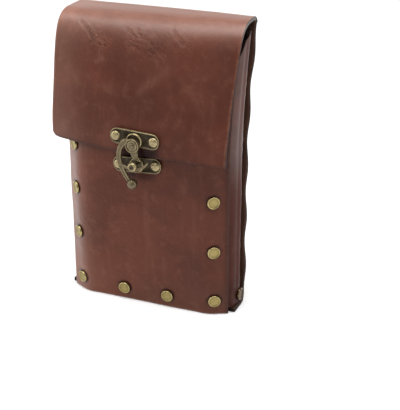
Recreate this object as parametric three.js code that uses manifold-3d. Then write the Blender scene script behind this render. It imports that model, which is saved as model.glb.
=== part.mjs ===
// A medieval belt pouch of riveted leather, closed by a swing clasp.
// Millimetres. X points to the right of someone facing the front, Y to the back and Z up.
// The pouch stands on its base, and the origin is under the middle of its box.
import * as THREE from "three";
import { mergeVertices } from "three/addons/utils/BufferGeometryUtils.js";
import Module from "manifold-3d";

const wasm = await Module();
wasm.setup();

// Leather
const LEATHER = 2.2; // front panel, back with flap, belt loop
const GUSSET_LEATHER = 1.8; // the two side gussets
const GAP = 0.3; // between pieces that touch

// Body
const POUCH_HEIGHT = 180; // base to the fold of the flap
const BODY_DEPTH = 27; // front face to back face at the base
const TOP_DEPTH = 41; // front face to the furthest point back, under the fold
const FRONT_WIDTH = 105.6; // front panel, edge to edge
const BACK_WIDTH = 112; // back panel and flap
const GUSSET_WIDTH = 111; // over both gussets at their fullest
const GUSSET_BULGE = 1; // how much fuller a gusset is between its folds
const GUSSET_FOLD = 4; // length of leather taken by each upright fold
const FLANGE = 16; // gusset edge behind the front panel and before the back
const CORNER_RADIUS = 14; // rounding of the front panel towards its edges, in plan
const CORNER_TURN = 45; // degrees that the front panel has turned at its edge, where it is fullest
const EDGE_DEPTH = 6; // how far the edges stand behind the middle at the foot of the front panel
const FRONT_BELLY = 5; // how far the middle of the front panel stands out where it is fullest
const BELLY_HEIGHT = 85; // height at which it is fullest
const MOUTH_DROP = 24; // the front panel ends this far below the fold
const GUSSET_DROP = 8; // a gusset ends this far below the fold, at the back
const LEAN_DROP = 72; // above this distance below the fold the front leans back
const FRONT_LEAN = 10; // how far the front panel leans back at the mouth
const LEAN_POWER = 1.2; // how suddenly it starts to lean

// Base and lip, which continue the back panel
const BASE_FRONT_BEND = 4; // outer radius
const BASE_BACK_BEND = 6; // outer radius
const LIP_HEIGHT = 16; // upturned lip behind the front panel
const LIP_WIDTH = 68; // between the two front flanges

// Flap
const FLAP_DROP = 77.7; // fold to lower edge, in the middle
const LEFT_LIFT = 2.9; // the lower left corner hangs higher by this
const RIGHT_LIFT = -0.5; // and the lower right corner by this
const FLAP_SHIFT = 1.2; // the lower edge has slid to the left by this
const EDGE_WAVE = 0.6; // the back panel's edges bulge between the rivets

// Rivets
const RIVET_HEAD = 8; // diameter
const RIVET_RISE = 1.5; // height of a head
const RIVET_POST = 3; // diameter
const RIVET_TAIL = 6; // diameter of the set end inside
const TAIL_RISE = 0.9; // height of the set end
const HOLE_CLEARANCE = 0.3; // on the radius of a post
const BORE_LENGTH = 60; // cuts right through any part of the clasp
const RIVET_INSET = 7.6; // front panel edge to a rivet's centre
const BACK_RIVET_INSET = 10.3; // fullest part of a gusset to the centre of a rivet in its back flange
const FIRST_RIVET = 8; // height of the lowest rivets
const RIVET_PITCH = 33; // from rivet to rivet up the back
const SIDE_RIVETS = 5; // up each side of the back
const BASE_RIVET_PITCH = 29.4; // between the two rivets along the bottom
const CORNER_RIVET_SETBACK = 8.5; // back face to the rivet at the foot of a gusset

// Belt loop
const LOOP_WIDTH = 60;
const LOOP_TOP = 118; // height of its upper end
const LOOP_SLOT = 44; // room for the belt, up and down
const LOOP_DEPTH = 5.5; // room for the belt, front to back
const LOOP_END = 12; // flat end that is riveted down
const LOOP_SLOPE = 5; // between an end and the raised middle
const LOOP_RIVET_PITCH = 40; // across

// Clasp
const CLASP_SIDE = 1; // the pivot sits this far left of the middle
const PIVOT_RISE = 7.2; // flap edge to pivot
const HOOK_REACH = 11.9; // pivot down to post
const CATCH_SIDE = 1.2; // the post stands this far right of the pivot
const UPPER_TURN = 3; // degrees that the upper plate hangs askew, lower to the right
const LOWER_TURN = -4; // and the lower plate
const PLATE_LENGTH = 31;
const PLATE_HEIGHT = 9.6;
const PLATE_CORNER = 3.6; // radius
const PLATE_THICKNESS = 1.2;
const UPPER_OFFSET = 3.4; // pivot up to the upper plate's middle
const LOWER_OFFSET = 2.3; // post down to the lower plate's middle
const LOWER_SIDE = 1.6; // and how far left of the post that is
const STUD_PITCH = 24; // between a plate's two studs
const STUD_HEAD = 6; // diameter
const STUD_RISE = 1.1; // height of a stud's head
const STUD_POST = 2; // diameter
const BOSS_RISE = 1.2; // raised round middle of a plate
const PIVOT_BOSS = 5; // its radius on the upper plate
const PIVOT_BOSS_OFFSET = 2; // and how far above the pivot it is centred
const CATCH_BOSS = 4.6; // its radius on the lower plate, in the plate's middle
const HOOK_THICKNESS = 2.2;
const HOOK_EYE = 4.4; // radius of the eye round the pivot
const HOOK_CLEARANCE = 0.3; // round the pivot and the post
const PIVOT_POST = 3; // diameter
const PIVOT_HEAD = 6.4; // diameter
const PIVOT_RISE_OUT = 1.3; // height of its head
const CATCH_NECK = 2.2; // diameter of the post that the hook catches
const CATCH_HEAD = 5.7; // diameter of its head
const CATCH_RISE = 3.4; // height of its head
const BALL_RADIUS = 3.2; // finger ball at the end of the hook

// Back panel from its lower bend to the fold.
// up is a share of the height, lean a share of the way from the base depth to the top depth.
const BACK_SECTIONS = [
  { up: 0.33, lean: 0.0 },
  { up: 0.57, lean: 0.06 },
  { up: 0.68, lean: 0.18 },
  { up: 0.78, lean: 0.36 },
  { up: 0.86, lean: 0.58 },
  { up: 0.93, lean: 0.82 },
  { up: 0.974, lean: 1.0 },
];

// Fold and flap. fall is a share of the drop, and left, middle and right are shares of the top depth.
const FLAP_SECTIONS = [
  { fall: 0.008, left: 0.93, middle: 0.94, right: 0.91 },
  { fall: 0.0, left: 0.7, middle: 0.755, right: 0.71 },
  { fall: 0.017, left: 0.32, middle: 0.44, right: 0.54 },
  { fall: 0.069, left: 0.17, middle: 0.26, right: 0.4 },
  { fall: 0.163, left: 0.07, middle: 0.12, right: 0.285 },
  { fall: 0.289, left: 0.005, middle: 0.015, right: 0.195 },
  { fall: 0.427, left: -0.04, middle: -0.07, right: 0.085 },
  { fall: 0.628, left: -0.095, middle: -0.15, right: -0.05 },
  { fall: 0.816, left: -0.14, middle: -0.196, right: -0.145 },
  { fall: 1.0, left: -0.14, middle: -0.21, right: -0.21 },
];

// Rivets up the two sides of the front panel, at shares of the pouch's height
const FRONT_RIVET_ROWS = [
  { left: 0.05, right: 0.052 },
  { left: 0.233, right: 0.241 },
  { left: 0.402, right: 0.424 },
  { left: 0.561, right: 0.604 },
  { left: 0.748, right: 0.778 },
];

// Limbs of the hook as stations in the plane of the clasp, measured from the pivot.
// right, up and width are shares of the reach from pivot to post.
const LEFT_ARM = [
  { right: -0.2, up: 0.22, width: 0.3 },
  { right: -0.4, up: 0.16, width: 0.32 },
  { right: -0.6, up: -0.08, width: 0.28 },
  { right: -0.7, up: -0.36, width: 0.26 },
  { right: -0.73, up: -0.65, width: 0.26 },
  { right: -0.69, up: -0.95, width: 0.28 },
  { right: -0.58, up: -1.25, width: 0.27 },
  { right: -0.45, up: -1.52, width: 0.23 },
  { right: -0.29, up: -1.76, width: 0.2 },
  { right: -0.14, up: -1.92, width: 0.17 },
];
const RIGHT_ARM = [
  { right: 0.03, up: -0.15, width: 0.42 },
  { right: 0.1, up: -0.37, width: 0.4 },
  { right: 0.16, up: -0.56, width: 0.34 },
  { right: 0.33, up: -0.68, width: 0.15 },
  { right: 0.44, up: -0.73, width: 0.03 },
];
const BALL_AT = { right: -0.05, up: -2.02 };
const JAW = { from: -34, to: 46, width: 0.16, tip: 0.03 }; // degrees from straight down, and shares

// Fineness of the facets
const RIVET_SIDES = 10;
const HOLE_SIDES = 8;
const ROUND_SIDES = 14;
const BEND_STEPS = 3;
const FOLD_STEPS = 2;

const LEATHER_LOOK = { color: 0x6b3f34, roughness: 0.5, metalness: 0 };
const BRASS_LOOK = { color: 0xa39366, roughness: 0.4, metalness: 1 };
const BRONZE_LOOK = { color: 0x84754f, roughness: 0.4, metalness: 1 };

const FLAP_EDGE = POUCH_HEIGHT - FLAP_DROP;
const FRONT_TOP = POUCH_HEIGHT - MOUTH_DROP;
const GUSSET_TOP = POUCH_HEIGHT - GUSSET_DROP;
const RIVET_SIDE = FRONT_WIDTH / 2 - RIVET_INSET;
const BACK_RIVET_SIDE = GUSSET_WIDTH / 2 - BACK_RIVET_INSET;
const PANEL_AND_GUSSET = LEATHER + GAP + GUSSET_LEATHER;
const ROUNDED = CORNER_RADIUS * Math.sin(radians(CORNER_TURN));
const CORNER_START = RIVET_SIDE - ROUNDED;

function radians(degrees) {
  return THREE.MathUtils.degToRad(degrees);
}

function steps(from, to, count) {
  return Array.from({ length: count + 1 }, (_, i) => from + ((to - from) * i) / count);
}

// How far the front panel has turned back at a distance from its middle line: none before the corner
// starts, a round to the rivets, and straight on to the edge.
function turnedBack(x) {
  const beyond = Math.max(0, Math.abs(x) - CORNER_START);
  const round = Math.min(beyond, ROUNDED);
  const straight = (beyond - round) * Math.tan(radians(CORNER_TURN));
  return CORNER_RADIUS - Math.sqrt(CORNER_RADIUS ** 2 - round ** 2) + straight;
}

// Depth of the front panel's outer face, counted back from the middle of its foot.
function frontDepth(x, z) {
  const belly = FRONT_BELLY * Math.sin((Math.PI / 2) * Math.min(z / BELLY_HEIGHT, 2));
  const turn = (turnedBack(x) / turnedBack(FRONT_WIDTH / 2)) * (EDGE_DEPTH + belly);
  const above = Math.max(0, z - (POUCH_HEIGHT - LEAN_DROP)) / (LEAN_DROP - MOUTH_DROP);
  return turn - belly + FRONT_LEAN * above ** LEAN_POWER;
}

const backCurve = new THREE.CatmullRomCurve3(
  [
    new THREE.Vector3(0, BODY_DEPTH, BASE_BACK_BEND),
    ...BACK_SECTIONS.map(
      ({ up, lean }) =>
        new THREE.Vector3(0, BODY_DEPTH + lean * (TOP_DEPTH - BODY_DEPTH), up * POUCH_HEIGHT),
    ),
  ],
  false,
  "centripetal",
);
const backPoints = backCurve.getPoints(BACK_SECTIONS.length * 8);

// Depth of the back panel's outer face.
function backDepth(x, z) {
  const i = backPoints.findIndex((p) => p.z > z);
  if (i <= 0) return i < 0 ? backPoints.at(-1).y : BODY_DEPTH;
  const [low, high] = [backPoints[i - 1], backPoints[i]];
  return THREE.MathUtils.mapLinear(z, low.z, high.z, low.y, high.y);
}

// How much longer than its thickness a leaning wall is from front to back.
function slant(depth, x, z) {
  const h = 0.5;
  const sideways = (depth(x + h, z) - depth(x - h, z)) / (2 * h);
  const upwards = (depth(x, z + h) - depth(x, z - h)) / (2 * h);
  return { sideways, upwards, stretch: Math.hypot(1, sideways, upwards) };
}

// A point of the layer behind the front panel, in plan, square to the panel's outer face at x.
function behindFront(x, z) {
  const { sideways, upwards, stretch } = slant(frontDepth, x, z);
  const inwards = (LEATHER + GAP) / stretch;
  return new THREE.Vector2(x - inwards * sideways, frontDepth(x, z) + inwards * (1 + upwards ** 2));
}

// Outer face of the layer before the back panel.
const beforeBack = (x, z) => backDepth(x, z) - (LEATHER + GAP) * slant(backDepth, x, z).stretch;

// A closed wall from a grid of points on its outer face.
// The step from row to row, crossed with the step along a row, points outwards.
function wall(rows, thickness) {
  const last = rows.length - 1;
  const end = rows[0].length - 1;
  const at = (j, i) => rows[Math.min(Math.max(j, 0), last)][Math.min(Math.max(i, 0), end)];
  const positions = [];
  for (const depth of [0, thickness]) {
    for (let j = 0; j <= last; j++) {
      for (let i = 0; i <= end; i++) {
        const down = at(j + 1, i).clone().sub(at(j - 1, i));
        const across = at(j, i + 1).clone().sub(at(j, i - 1));
        const outwards = down.cross(across).normalize();
        positions.push(...at(j, i).clone().addScaledVector(outwards, -depth));
      }
    }
  }
  const outer = (j, i) => j * (end + 1) + i;
  const inner = (j, i) => outer(j, i) + (last + 1) * (end + 1);
  const indices = [];
  const quad = (a, b, c, d) => indices.push(a, b, c, a, c, d);
  for (let j = 0; j < last; j++) {
    for (let i = 0; i < end; i++) {
      quad(outer(j, i), outer(j + 1, i), outer(j + 1, i + 1), outer(j, i + 1));
      quad(inner(j, i), inner(j, i + 1), inner(j + 1, i + 1), inner(j + 1, i));
    }
    quad(outer(j, 0), inner(j, 0), inner(j + 1, 0), outer(j + 1, 0));
    quad(outer(j, end), outer(j + 1, end), inner(j + 1, end), inner(j, end));
  }
  for (let i = 0; i < end; i++) {
    quad(outer(0, i), outer(0, i + 1), inner(0, i + 1), inner(0, i));
    quad(outer(last, i), inner(last, i), inner(last, i + 1), outer(last, i + 1));
  }
  const geometry = new THREE.BufferGeometry();
  geometry.setAttribute("position", new THREE.Float32BufferAttribute(positions, 3));
  geometry.setIndex(indices);
  return geometry;
}

// Between a geometry and a manifold-3d solid.
function toSolid(geometry) {
  const bare = geometry.clone();
  bare.deleteAttribute("normal");
  bare.deleteAttribute("uv");
  const merged = mergeVertices(bare, 1e-4);
  return new wasm.Manifold(
    new wasm.Mesh({
      numProp: 3,
      vertProperties: merged.attributes.position.array,
      triVerts: new Uint32Array(merged.index.array),
    }),
  );
}

function toGeometry(solid) {
  const mesh = solid.getMesh();
  const geometry = new THREE.BufferGeometry();
  geometry.setAttribute("position", new THREE.BufferAttribute(mesh.vertProperties, mesh.numProp));
  geometry.setIndex(new THREE.BufferAttribute(mesh.triVerts, 1));
  geometry.computeVertexNormals();
  return geometry;
}

function cut(geometry, tools) {
  return toGeometry(tools.reduce((solid, tool) => solid.subtract(toSolid(tool)), toSolid(geometry)));
}

function join(geometries) {
  return toGeometry(geometries.map(toSolid).reduce((solid, other) => solid.add(other)));
}

// A place on a wall: its point on the outer face, and the direction that points away from the leather.
function placeOn(depth, x, z, facing) {
  const { sideways, upwards } = slant(depth, x, z);
  const outwards = new THREE.Vector3(sideways, -1, upwards).normalize().multiplyScalar(facing);
  return { point: new THREE.Vector3(x, depth(x, z), z), outwards };
}

const UP_THE_LATHE = new THREE.Vector3(0, 1, 0);

// The round hole that a post needs through the leather behind a place.
function holeAt({ point, outwards }, diameter, depth) {
  const radius = diameter / 2 + HOLE_CLEARANCE;
  const length = 2 * depth;
  const hole = new THREE.CylinderGeometry(radius, radius, length, HOLE_SIDES);
  hole.applyQuaternion(new THREE.Quaternion().setFromUnitVectors(UP_THE_LATHE, outwards));
  return hole.translate(...point);
}

// Nodes are collected in one group.
const pouch = new THREE.Group();

function addNode(name, geometry, look) {
  const mesh = new THREE.Mesh(geometry, new THREE.MeshStandardMaterial(look));
  mesh.name = name;
  pouch.add(mesh);
  return mesh;
}

function turned(profile, sides) {
  return new THREE.LatheGeometry(
    profile.map(([radius, height]) => new THREE.Vector2(radius, height)),
    sides,
  );
}

// A rivet seen from its set end inside to its dished head outside.
// Heights count outwards from the face that carries the head, and stack is what it clamps.
function rivetProfile(stack, tailGap) {
  const head = RIVET_HEAD / 2;
  const post = RIVET_POST / 2;
  const tail = -stack - tailGap;
  return [
    [0, tail - TAIL_RISE],
    [RIVET_TAIL / 2, tail - TAIL_RISE],
    [RIVET_TAIL / 2, tail],
    [post, tail],
    [post, GAP],
    [head, GAP],
    [head, GAP + RIVET_RISE * 0.5],
    [head * 0.8, GAP + RIVET_RISE],
    [0, GAP + RIVET_RISE * 0.75],
  ];
}

function addRivet(name, place, stack, tailGap = GAP) {
  const rivet = addNode(name, turned(rivetProfile(stack, tailGap), RIVET_SIDES), BRASS_LOOK);
  rivet.position.copy(place.point);
  rivet.quaternion.setFromUnitVectors(UP_THE_LATHE, place.outwards);
}

// Rivets up both sides of the front and back, along the bottom, and at the feet of the gussets
const rivetHeights = Array.from({ length: SIDE_RIVETS }, (_, i) => FIRST_RIVET + i * RIVET_PITCH);
const sides = [
  { side: "left", sign: -1 },
  { side: "right", sign: 1 },
];
const frontRivets = sides.flatMap(({ side, sign }) =>
  FRONT_RIVET_ROWS.map((row, i) => ({
    name: `front_rivet_${side}_${i + 1}`,
    place: placeOn(frontDepth, sign * RIVET_SIDE, row[side] * POUCH_HEIGHT, 1),
  })),
);
const backRivets = sides.flatMap(({ side, sign }) =>
  rivetHeights.map((z, i) => ({
    name: `back_rivet_${side}_${i + 1}`,
    place: placeOn(backDepth, sign * BACK_RIVET_SIDE, Math.max(z, BASE_BACK_BEND + RIVET_HEAD / 2), -1),
  })),
);
const baseRivets = sides.map(({ side, sign }) => ({
  name: `base_rivet_${side}`,
  place: placeOn(frontDepth, (sign * BASE_RIVET_PITCH) / 2, FIRST_RIVET, 1),
}));

// One side gusset: a front flange, a fold, the full side, a fold and a back flange, as a plan at a height.
const webSide = GUSSET_WIDTH / 2 - GUSSET_BULGE;
const flangeEnd = FRONT_WIDTH / 2 - FLANGE;

function foldPoints(start, corner, end) {
  const bend = new THREE.QuadraticBezierCurve(start, corner, end);
  return bend.getPoints(FOLD_STEPS);
}

function gussetPlan(z) {
  const corner = steps(CORNER_START + ROUNDED / 2, FRONT_WIDTH / 2, 3);
  const front = [flangeEnd, ...corner].map((x) => behindFront(x, z));
  const frontFace = front.at(-1);
  const rise = (webSide - frontFace.x) * slant(frontDepth, FRONT_WIDTH / 2 - 1, z).sideways;
  const webStart = new THREE.Vector2(webSide, frontFace.y + rise + GUSSET_FOLD);
  const back = steps(webSide - GUSSET_FOLD, flangeEnd, 1).map((x) => new THREE.Vector2(x, beforeBack(x, z)));
  const webEnd = new THREE.Vector2(webSide, back[0].y - GUSSET_FOLD);
  const frontFold = foldPoints(frontFace, new THREE.Vector2(webSide, frontFace.y + rise), webStart);
  const backFold = foldPoints(webEnd, new THREE.Vector2(webSide, back[0].y), back[0]);
  const web = steps(0, 1, 3).map((share) => {
    const bulge = GUSSET_BULGE * Math.sin(Math.PI * share);
    return new THREE.Vector2(webSide + bulge, THREE.MathUtils.lerp(webStart.y, webEnd.y, share));
  });
  return [...front, ...frontFold.slice(1), ...web.slice(1, -1), ...backFold, ...back.slice(1)];
}

// Height of a gusset's foot and top over a point of its plan at the base.
function gussetFoot(y) {
  const bendCentre = BODY_DEPTH - BASE_BACK_BEND;
  const room = BASE_BACK_BEND - LEATHER - GAP;
  const into = THREE.MathUtils.clamp(y - bendCentre, 0, room);
  return BASE_BACK_BEND - Math.sqrt(room ** 2 - into ** 2);
}

function gussetTop(y) {
  const front = behindFront(FRONT_WIDTH / 2, 0).y;
  const share = THREE.MathUtils.clamp((y - front) / (beforeBack(0, 0) - front), 0, 1);
  return THREE.MathUtils.lerp(FRONT_TOP, GUSSET_TOP, 1 - (1 - share) ** 3);
}

function gussetRows(sign) {
  const basePlan = gussetPlan(0);
  const rows = steps(1, 0, 14).map((up) =>
    basePlan.map(({ y }, i) => {
      const z = THREE.MathUtils.lerp(gussetFoot(y), gussetTop(y), up);
      const { x, y: depth } = gussetPlan(z)[i];
      return new THREE.Vector3(sign * x, depth, z);
    }),
  );
  return sign > 0 ? rows : rows.map((row) => row.reverse());
}

const cornerRivetDepth = BODY_DEPTH - CORNER_RIVET_SETBACK;

// Sides of a gusset's plan at the height of the lowest rivets, within a radius of the rivet at its foot
function gussetSides(radius) {
  const plan = gussetPlan(FIRST_RIVET);
  const depths = steps(cornerRivetDepth - radius, cornerRivetDepth + radius, 8);
  return depths.map((depth) => {
    const i = plan.findIndex((p) => p.x > webSide - GUSSET_FOLD && p.y > depth);
    const [before, after] = [plan[i - 1], plan[i]];
    return THREE.MathUtils.mapLinear(depth, before.y, after.y, before.x, after.x);
  });
}

const cornerRivetSeat = Math.max(...gussetSides(RIVET_HEAD / 2));
const cornerRivetStack = cornerRivetSeat - Math.min(...gussetSides(RIVET_TAIL / 2)) + GUSSET_LEATHER;
const cornerRivets = sides.map(({ side, sign }) => ({
  name: `corner_rivet_${side}`,
  sign,
  place: {
    point: new THREE.Vector3(sign * cornerRivetSeat, cornerRivetDepth, FIRST_RIVET),
    outwards: new THREE.Vector3(sign, 0, 0),
  },
}));

for (const { side, sign } of sides) {
  const holes = [
    ...frontRivets.filter(({ place }) => place.point.x * sign > 0),
    ...backRivets.filter(({ place }) => place.point.x * sign > 0),
    ...cornerRivets.filter((rivet) => rivet.sign === sign),
  ].map(({ place }) => holeAt(place, RIVET_POST, PANEL_AND_GUSSET + LEATHER));
  addNode(`gusset_${side}`, cut(wall(gussetRows(sign), GUSSET_LEATHER), holes), LEATHER_LOOK);
}

// The clasp stands on the flap and on the front panel, and its layers count outwards, so y falls.
const pivotHeight = FLAP_EDGE + PIVOT_RISE;
const catchHeight = pivotHeight - HOOK_REACH;

// Lip, base, back, fold and flap are one piece of leather. These are its left, middle and right courses.
function sheetCourse(column, lift) {
  const lipFace = LEATHER + GAP;
  const arc = (y, z, radius, from, to) =>
    steps(from, to, BEND_STEPS).map((angle) => {
      const turn = radians(angle);
      return new THREE.Vector3(0, y + radius * Math.cos(turn), z + radius * Math.sin(turn));
    });
  const lip = steps(LIP_HEIGHT, BASE_FRONT_BEND + 2, 1).map(
    (z) => new THREE.Vector3(0, lipFace + frontDepth(0, z), z),
  );
  const frontBend = arc(lipFace + BASE_FRONT_BEND, BASE_FRONT_BEND, BASE_FRONT_BEND, 180, 270);
  const backBend = arc(BODY_DEPTH - BASE_BACK_BEND, BASE_BACK_BEND, BASE_BACK_BEND, 270, 360);
  const heights = steps(BASE_BACK_BEND, BACK_SECTIONS.at(-1).up * POUCH_HEIGHT, 14).slice(1, -1);
  const back = heights.map((z) => new THREE.Vector3(0, backDepth(0, z), z));
  const flap = FLAP_SECTIONS.map((section) => {
    const raised = lift * Math.max(0, (section.fall - 0.5) / 0.5);
    const z = POUCH_HEIGHT - section.fall * FLAP_DROP + raised;
    return new THREE.Vector3(section.fall, section[column] * TOP_DEPTH, z);
  });
  const top = backPoints.at(-1);
  const fold = new THREE.CatmullRomCurve3([top, ...flap], false, "centripetal");
  return [...lip, ...frontBend, ...backBend, ...back, ...fold.getPoints(flap.length * 2)];
}

const courses = {
  left: sheetCourse("left", LEFT_LIFT),
  middle: sheetCourse("middle", 0),
  right: sheetCourse("right", RIGHT_LIFT),
};

// The edges of the back panel bulge between rivets. x of a course point holds its share of the flap's drop.
function halfWidth(point) {
  const onBack = point.y > BODY_DEPTH * 0.9 && point.x === 0;
  const phase = ((point.z - FIRST_RIVET) / RIVET_PITCH) * 2 * Math.PI;
  return BACK_WIDTH / 2 - (onBack ? EDGE_WAVE * Math.cos(phase) : 0);
}

function sheetPoint(i, share) {
  const { left, middle, right } = courses;
  const blend = (key) =>
    left[i][key] * ((share * (share - 1)) / 2) +
    middle[i][key] * (1 - share ** 2) +
    right[i][key] * ((share * (share + 1)) / 2);
  const slide = FLAP_SHIFT * middle[i].x ** 2;
  return new THREE.Vector3(share * halfWidth(middle[i]) - slide, blend("y"), blend("z"));
}

const sheetRows = courses.middle.map((_, i) => steps(-1, 1, 4).map((share) => sheetPoint(i, share)));

// Depth of the flap's outer face, for what is fixed to it.
function flapDepth(x, z) {
  const share = x / (BACK_WIDTH / 2);
  const lower = sheetRows.length - 1;
  for (let i = lower; i > 0; i--) {
    const [below, above] = [sheetPoint(i, share), sheetPoint(i - 1, share)];
    if (above.z >= z) return THREE.MathUtils.mapLinear(z, below.z, above.z, below.y, above.y);
  }
  return 0;
}

// The lip and its bend are only as wide as the space between the front flanges, and beside them the base
// ends behind the front panel.
const bendEnd = LEATHER + GAP + BASE_FRONT_BEND;
const panelEnd = EDGE_DEPTH + LEATHER + 2 * GAP;
const lipNotches = sides.map(({ sign }) => {
  const plan = [
    [LIP_WIDTH / 2, -BASE_FRONT_BEND],
    [LIP_WIDTH / 2, bendEnd],
    [RIVET_SIDE, bendEnd],
    [FRONT_WIDTH / 2, panelEnd],
    [BACK_WIDTH, panelEnd],
    [BACK_WIDTH, -BASE_FRONT_BEND],
  ].map(([x, y]) => new THREE.Vector2(sign * x, y));
  const notch = { depth: LIP_HEIGHT * 2, bevelEnabled: false };
  return new THREE.ExtrudeGeometry(new THREE.Shape(plan), notch).translate(0, 0, -LEATHER);
});

// Studs of a clasp plate, in the plane of the clasp
function studPlaces(depth, centreX, centreZ, turn) {
  return sides.map(({ side, sign }) => {
    const along = new THREE.Vector2((sign * STUD_PITCH) / 2, 0).rotateAround(new THREE.Vector2(), -turn);
    const x = centreX + along.x;
    const z = centreZ + along.y;
    return { side, x, z, depth: depth(x, z) };
  });
}

const upperTurn = radians(UPPER_TURN);
const lowerTurn = radians(LOWER_TURN);
const catchX = CATCH_SIDE - CLASP_SIDE;
const upperMiddle = new THREE.Vector2(0, UPPER_OFFSET);
const lowerMiddle = new THREE.Vector2(-LOWER_SIDE, -LOWER_OFFSET);
const upperCentre = upperMiddle.clone().rotateAround(new THREE.Vector2(), -upperTurn);
const lowerCentre = lowerMiddle.clone().rotateAround(new THREE.Vector2(), -lowerTurn);
const upperStuds = studPlaces(flapDepth, upperCentre.x - CLASP_SIDE, pivotHeight + upperCentre.y, upperTurn);
const lowerStuds = studPlaces(frontDepth, catchX + lowerCentre.x, catchHeight + lowerCentre.y, lowerTurn);
const upperBase = Math.min(...upperStuds.map((s) => s.depth), flapDepth(-CLASP_SIDE, pivotHeight)) - GAP;
const lowerBase = Math.min(...lowerStuds.map((s) => s.depth)) - GAP;

// Everything under the clasp is pierced straight from front to back.
function straightHole(x, y, z, diameter) {
  const place = { point: new THREE.Vector3(x, y, z), outwards: new THREE.Vector3(0, -1, 0) };
  return holeAt(place, diameter, LEATHER * 3);
}

const loopBottom = LOOP_TOP - LOOP_SLOT - 2 * (LOOP_END + LOOP_SLOPE);
const loopRivets = [
  { level: "lower", z: loopBottom + LOOP_END / 2 },
  { level: "upper", z: LOOP_TOP - LOOP_END / 2 },
].flatMap(({ level, z }) =>
  sides.map(({ side, sign }) => {
    const outwards = new THREE.Vector3(0, 1, 0);
    const x = (sign * LOOP_RIVET_PITCH) / 2;
    const point = new THREE.Vector3(x, backDepth(x, z), z);
    return { name: `loop_rivet_${level}_${side}`, place: { point, outwards } };
  }),
);

function addBackWithFlap() {
  const holes = [
    ...lipNotches,
    ...backRivets.map(({ place }) => holeAt(place, RIVET_POST, PANEL_AND_GUSSET)),
    ...baseRivets.map(({ place }) => holeAt(place, RIVET_POST, LEATHER * 3)),
    ...loopRivets.map(({ place }) => holeAt(place, RIVET_POST, LEATHER * 3)),
    ...upperStuds.map(({ x, z, depth }) => straightHole(x, depth, z, STUD_POST)),
    straightHole(-CLASP_SIDE, flapDepth(-CLASP_SIDE, pivotHeight), pivotHeight, PIVOT_POST),
  ];
  addNode("back_with_flap", cut(wall(sheetRows, LEATHER), holes), LEATHER_LOOK);
}

function addFrontPanel() {
  const flat = steps(-CORNER_START, CORNER_START, 2);
  const turns = steps(0, radians(CORNER_TURN), 4).slice(1);
  const corner = [...turns.map((turn) => CORNER_START + CORNER_RADIUS * Math.sin(turn)), FRONT_WIDTH / 2];
  const across = [...corner.map((x) => -x).reverse(), ...flat, ...corner];
  const lean = POUCH_HEIGHT - LEAN_DROP;
  const heights = [...steps(FRONT_TOP, lean, 5), ...steps(lean, 0, 6).slice(1)];
  const rows = heights.map((z) => across.map((x) => new THREE.Vector3(x, frontDepth(x, z), z)));
  const holes = [
    ...[...frontRivets, ...baseRivets].map(({ place }) => holeAt(place, RIVET_POST, PANEL_AND_GUSSET)),
    ...lowerStuds.map(({ x, z, depth }) => straightHole(x, depth, z, STUD_POST)),
  ];
  addNode("front_panel", cut(wall(rows, LEATHER), holes), LEATHER_LOOK);
}

// The belt passes between the back panel and this strap, whose raised middle is flat.
function addBeltLoop() {
  const raised = backDepth(0, LOOP_TOP) + LOOP_DEPTH + LEATHER;
  const seat = (z) => backDepth(0, z) + (GAP + LEATHER) * slant(backDepth, 0, z).stretch;
  const low = loopBottom + LOOP_END;
  const high = LOOP_TOP - LOOP_END;
  const course = [
    ...steps(loopBottom, low, 3).map((z) => [seat(z), z]),
    [THREE.MathUtils.lerp(seat(low), raised, 0.25), low + LOOP_SLOPE * 0.4],
    [THREE.MathUtils.lerp(seat(low), raised, 0.8), low + LOOP_SLOPE * 0.75],
    [raised, low + LOOP_SLOPE * 1.2],
    [raised, high - LOOP_SLOPE * 1.2],
    [THREE.MathUtils.lerp(seat(high), raised, 0.8), high - LOOP_SLOPE * 0.75],
    [THREE.MathUtils.lerp(seat(high), raised, 0.25), high - LOOP_SLOPE * 0.4],
    ...steps(high, LOOP_TOP, 3).map((z) => [seat(z), z]),
  ];
  const rows = course.map(([y, z]) =>
    steps(-LOOP_WIDTH / 2, LOOP_WIDTH / 2, 2).map((x) => new THREE.Vector3(x, y, z)),
  );
  const holes = loopRivets.map(({ place }) => holeAt(place, RIVET_POST, LEATHER * 3));
  addNode("belt_loop", cut(wall(rows, LEATHER), holes), LEATHER_LOOK);
}

function addRivets() {
  const inward = (RIVET_TAIL / 2) ** 2 / (2 * (CORNER_RADIUS - PANEL_AND_GUSSET));
  for (const { name, place } of frontRivets) addRivet(name, place, PANEL_AND_GUSSET, 2 * GAP + inward);
  for (const { name, place } of backRivets) addRivet(name, place, PANEL_AND_GUSSET, 2 * GAP + inward);
  for (const { name, place } of baseRivets) addRivet(name, place, 2 * LEATHER + GAP);
  for (const { name, place } of cornerRivets) addRivet(name, place, cornerRivetStack, 2 * GAP);
  for (const { name, place } of loopRivets) {
    const seat = place.point.clone().setY(place.point.y + GAP + LEATHER + inward);
    addRivet(name, { point: seat, outwards: place.outwards }, 2 * LEATHER + GAP + 2 * inward);
  }
}

const bossFace = PLATE_THICKNESS + BOSS_RISE;

// Clasp pieces are drawn in the plane of the clasp, right and up, and stand out from a base depth.
function standOut(shape, base, height, fineness = 6) {
  const geometry = new THREE.ExtrudeGeometry(shape, {
    depth: height,
    bevelEnabled: false,
    curveSegments: fineness,
  });
  return geometry.rotateX(Math.PI / 2).translate(0, base, 0);
}

// A round piece about an axis from front to back. Its profile counts outwards from the base depth.
function turnedOut(profile, base, sideCount = ROUND_SIDES) {
  return turned(profile, sideCount).rotateX(Math.PI).translate(0, base, 0);
}

function bore(base, diameter) {
  const radius = diameter / 2 + HOOK_CLEARANCE;
  return new THREE.CylinderGeometry(radius, radius, BORE_LENGTH, ROUND_SIDES).translate(0, base, 0);
}

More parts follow.
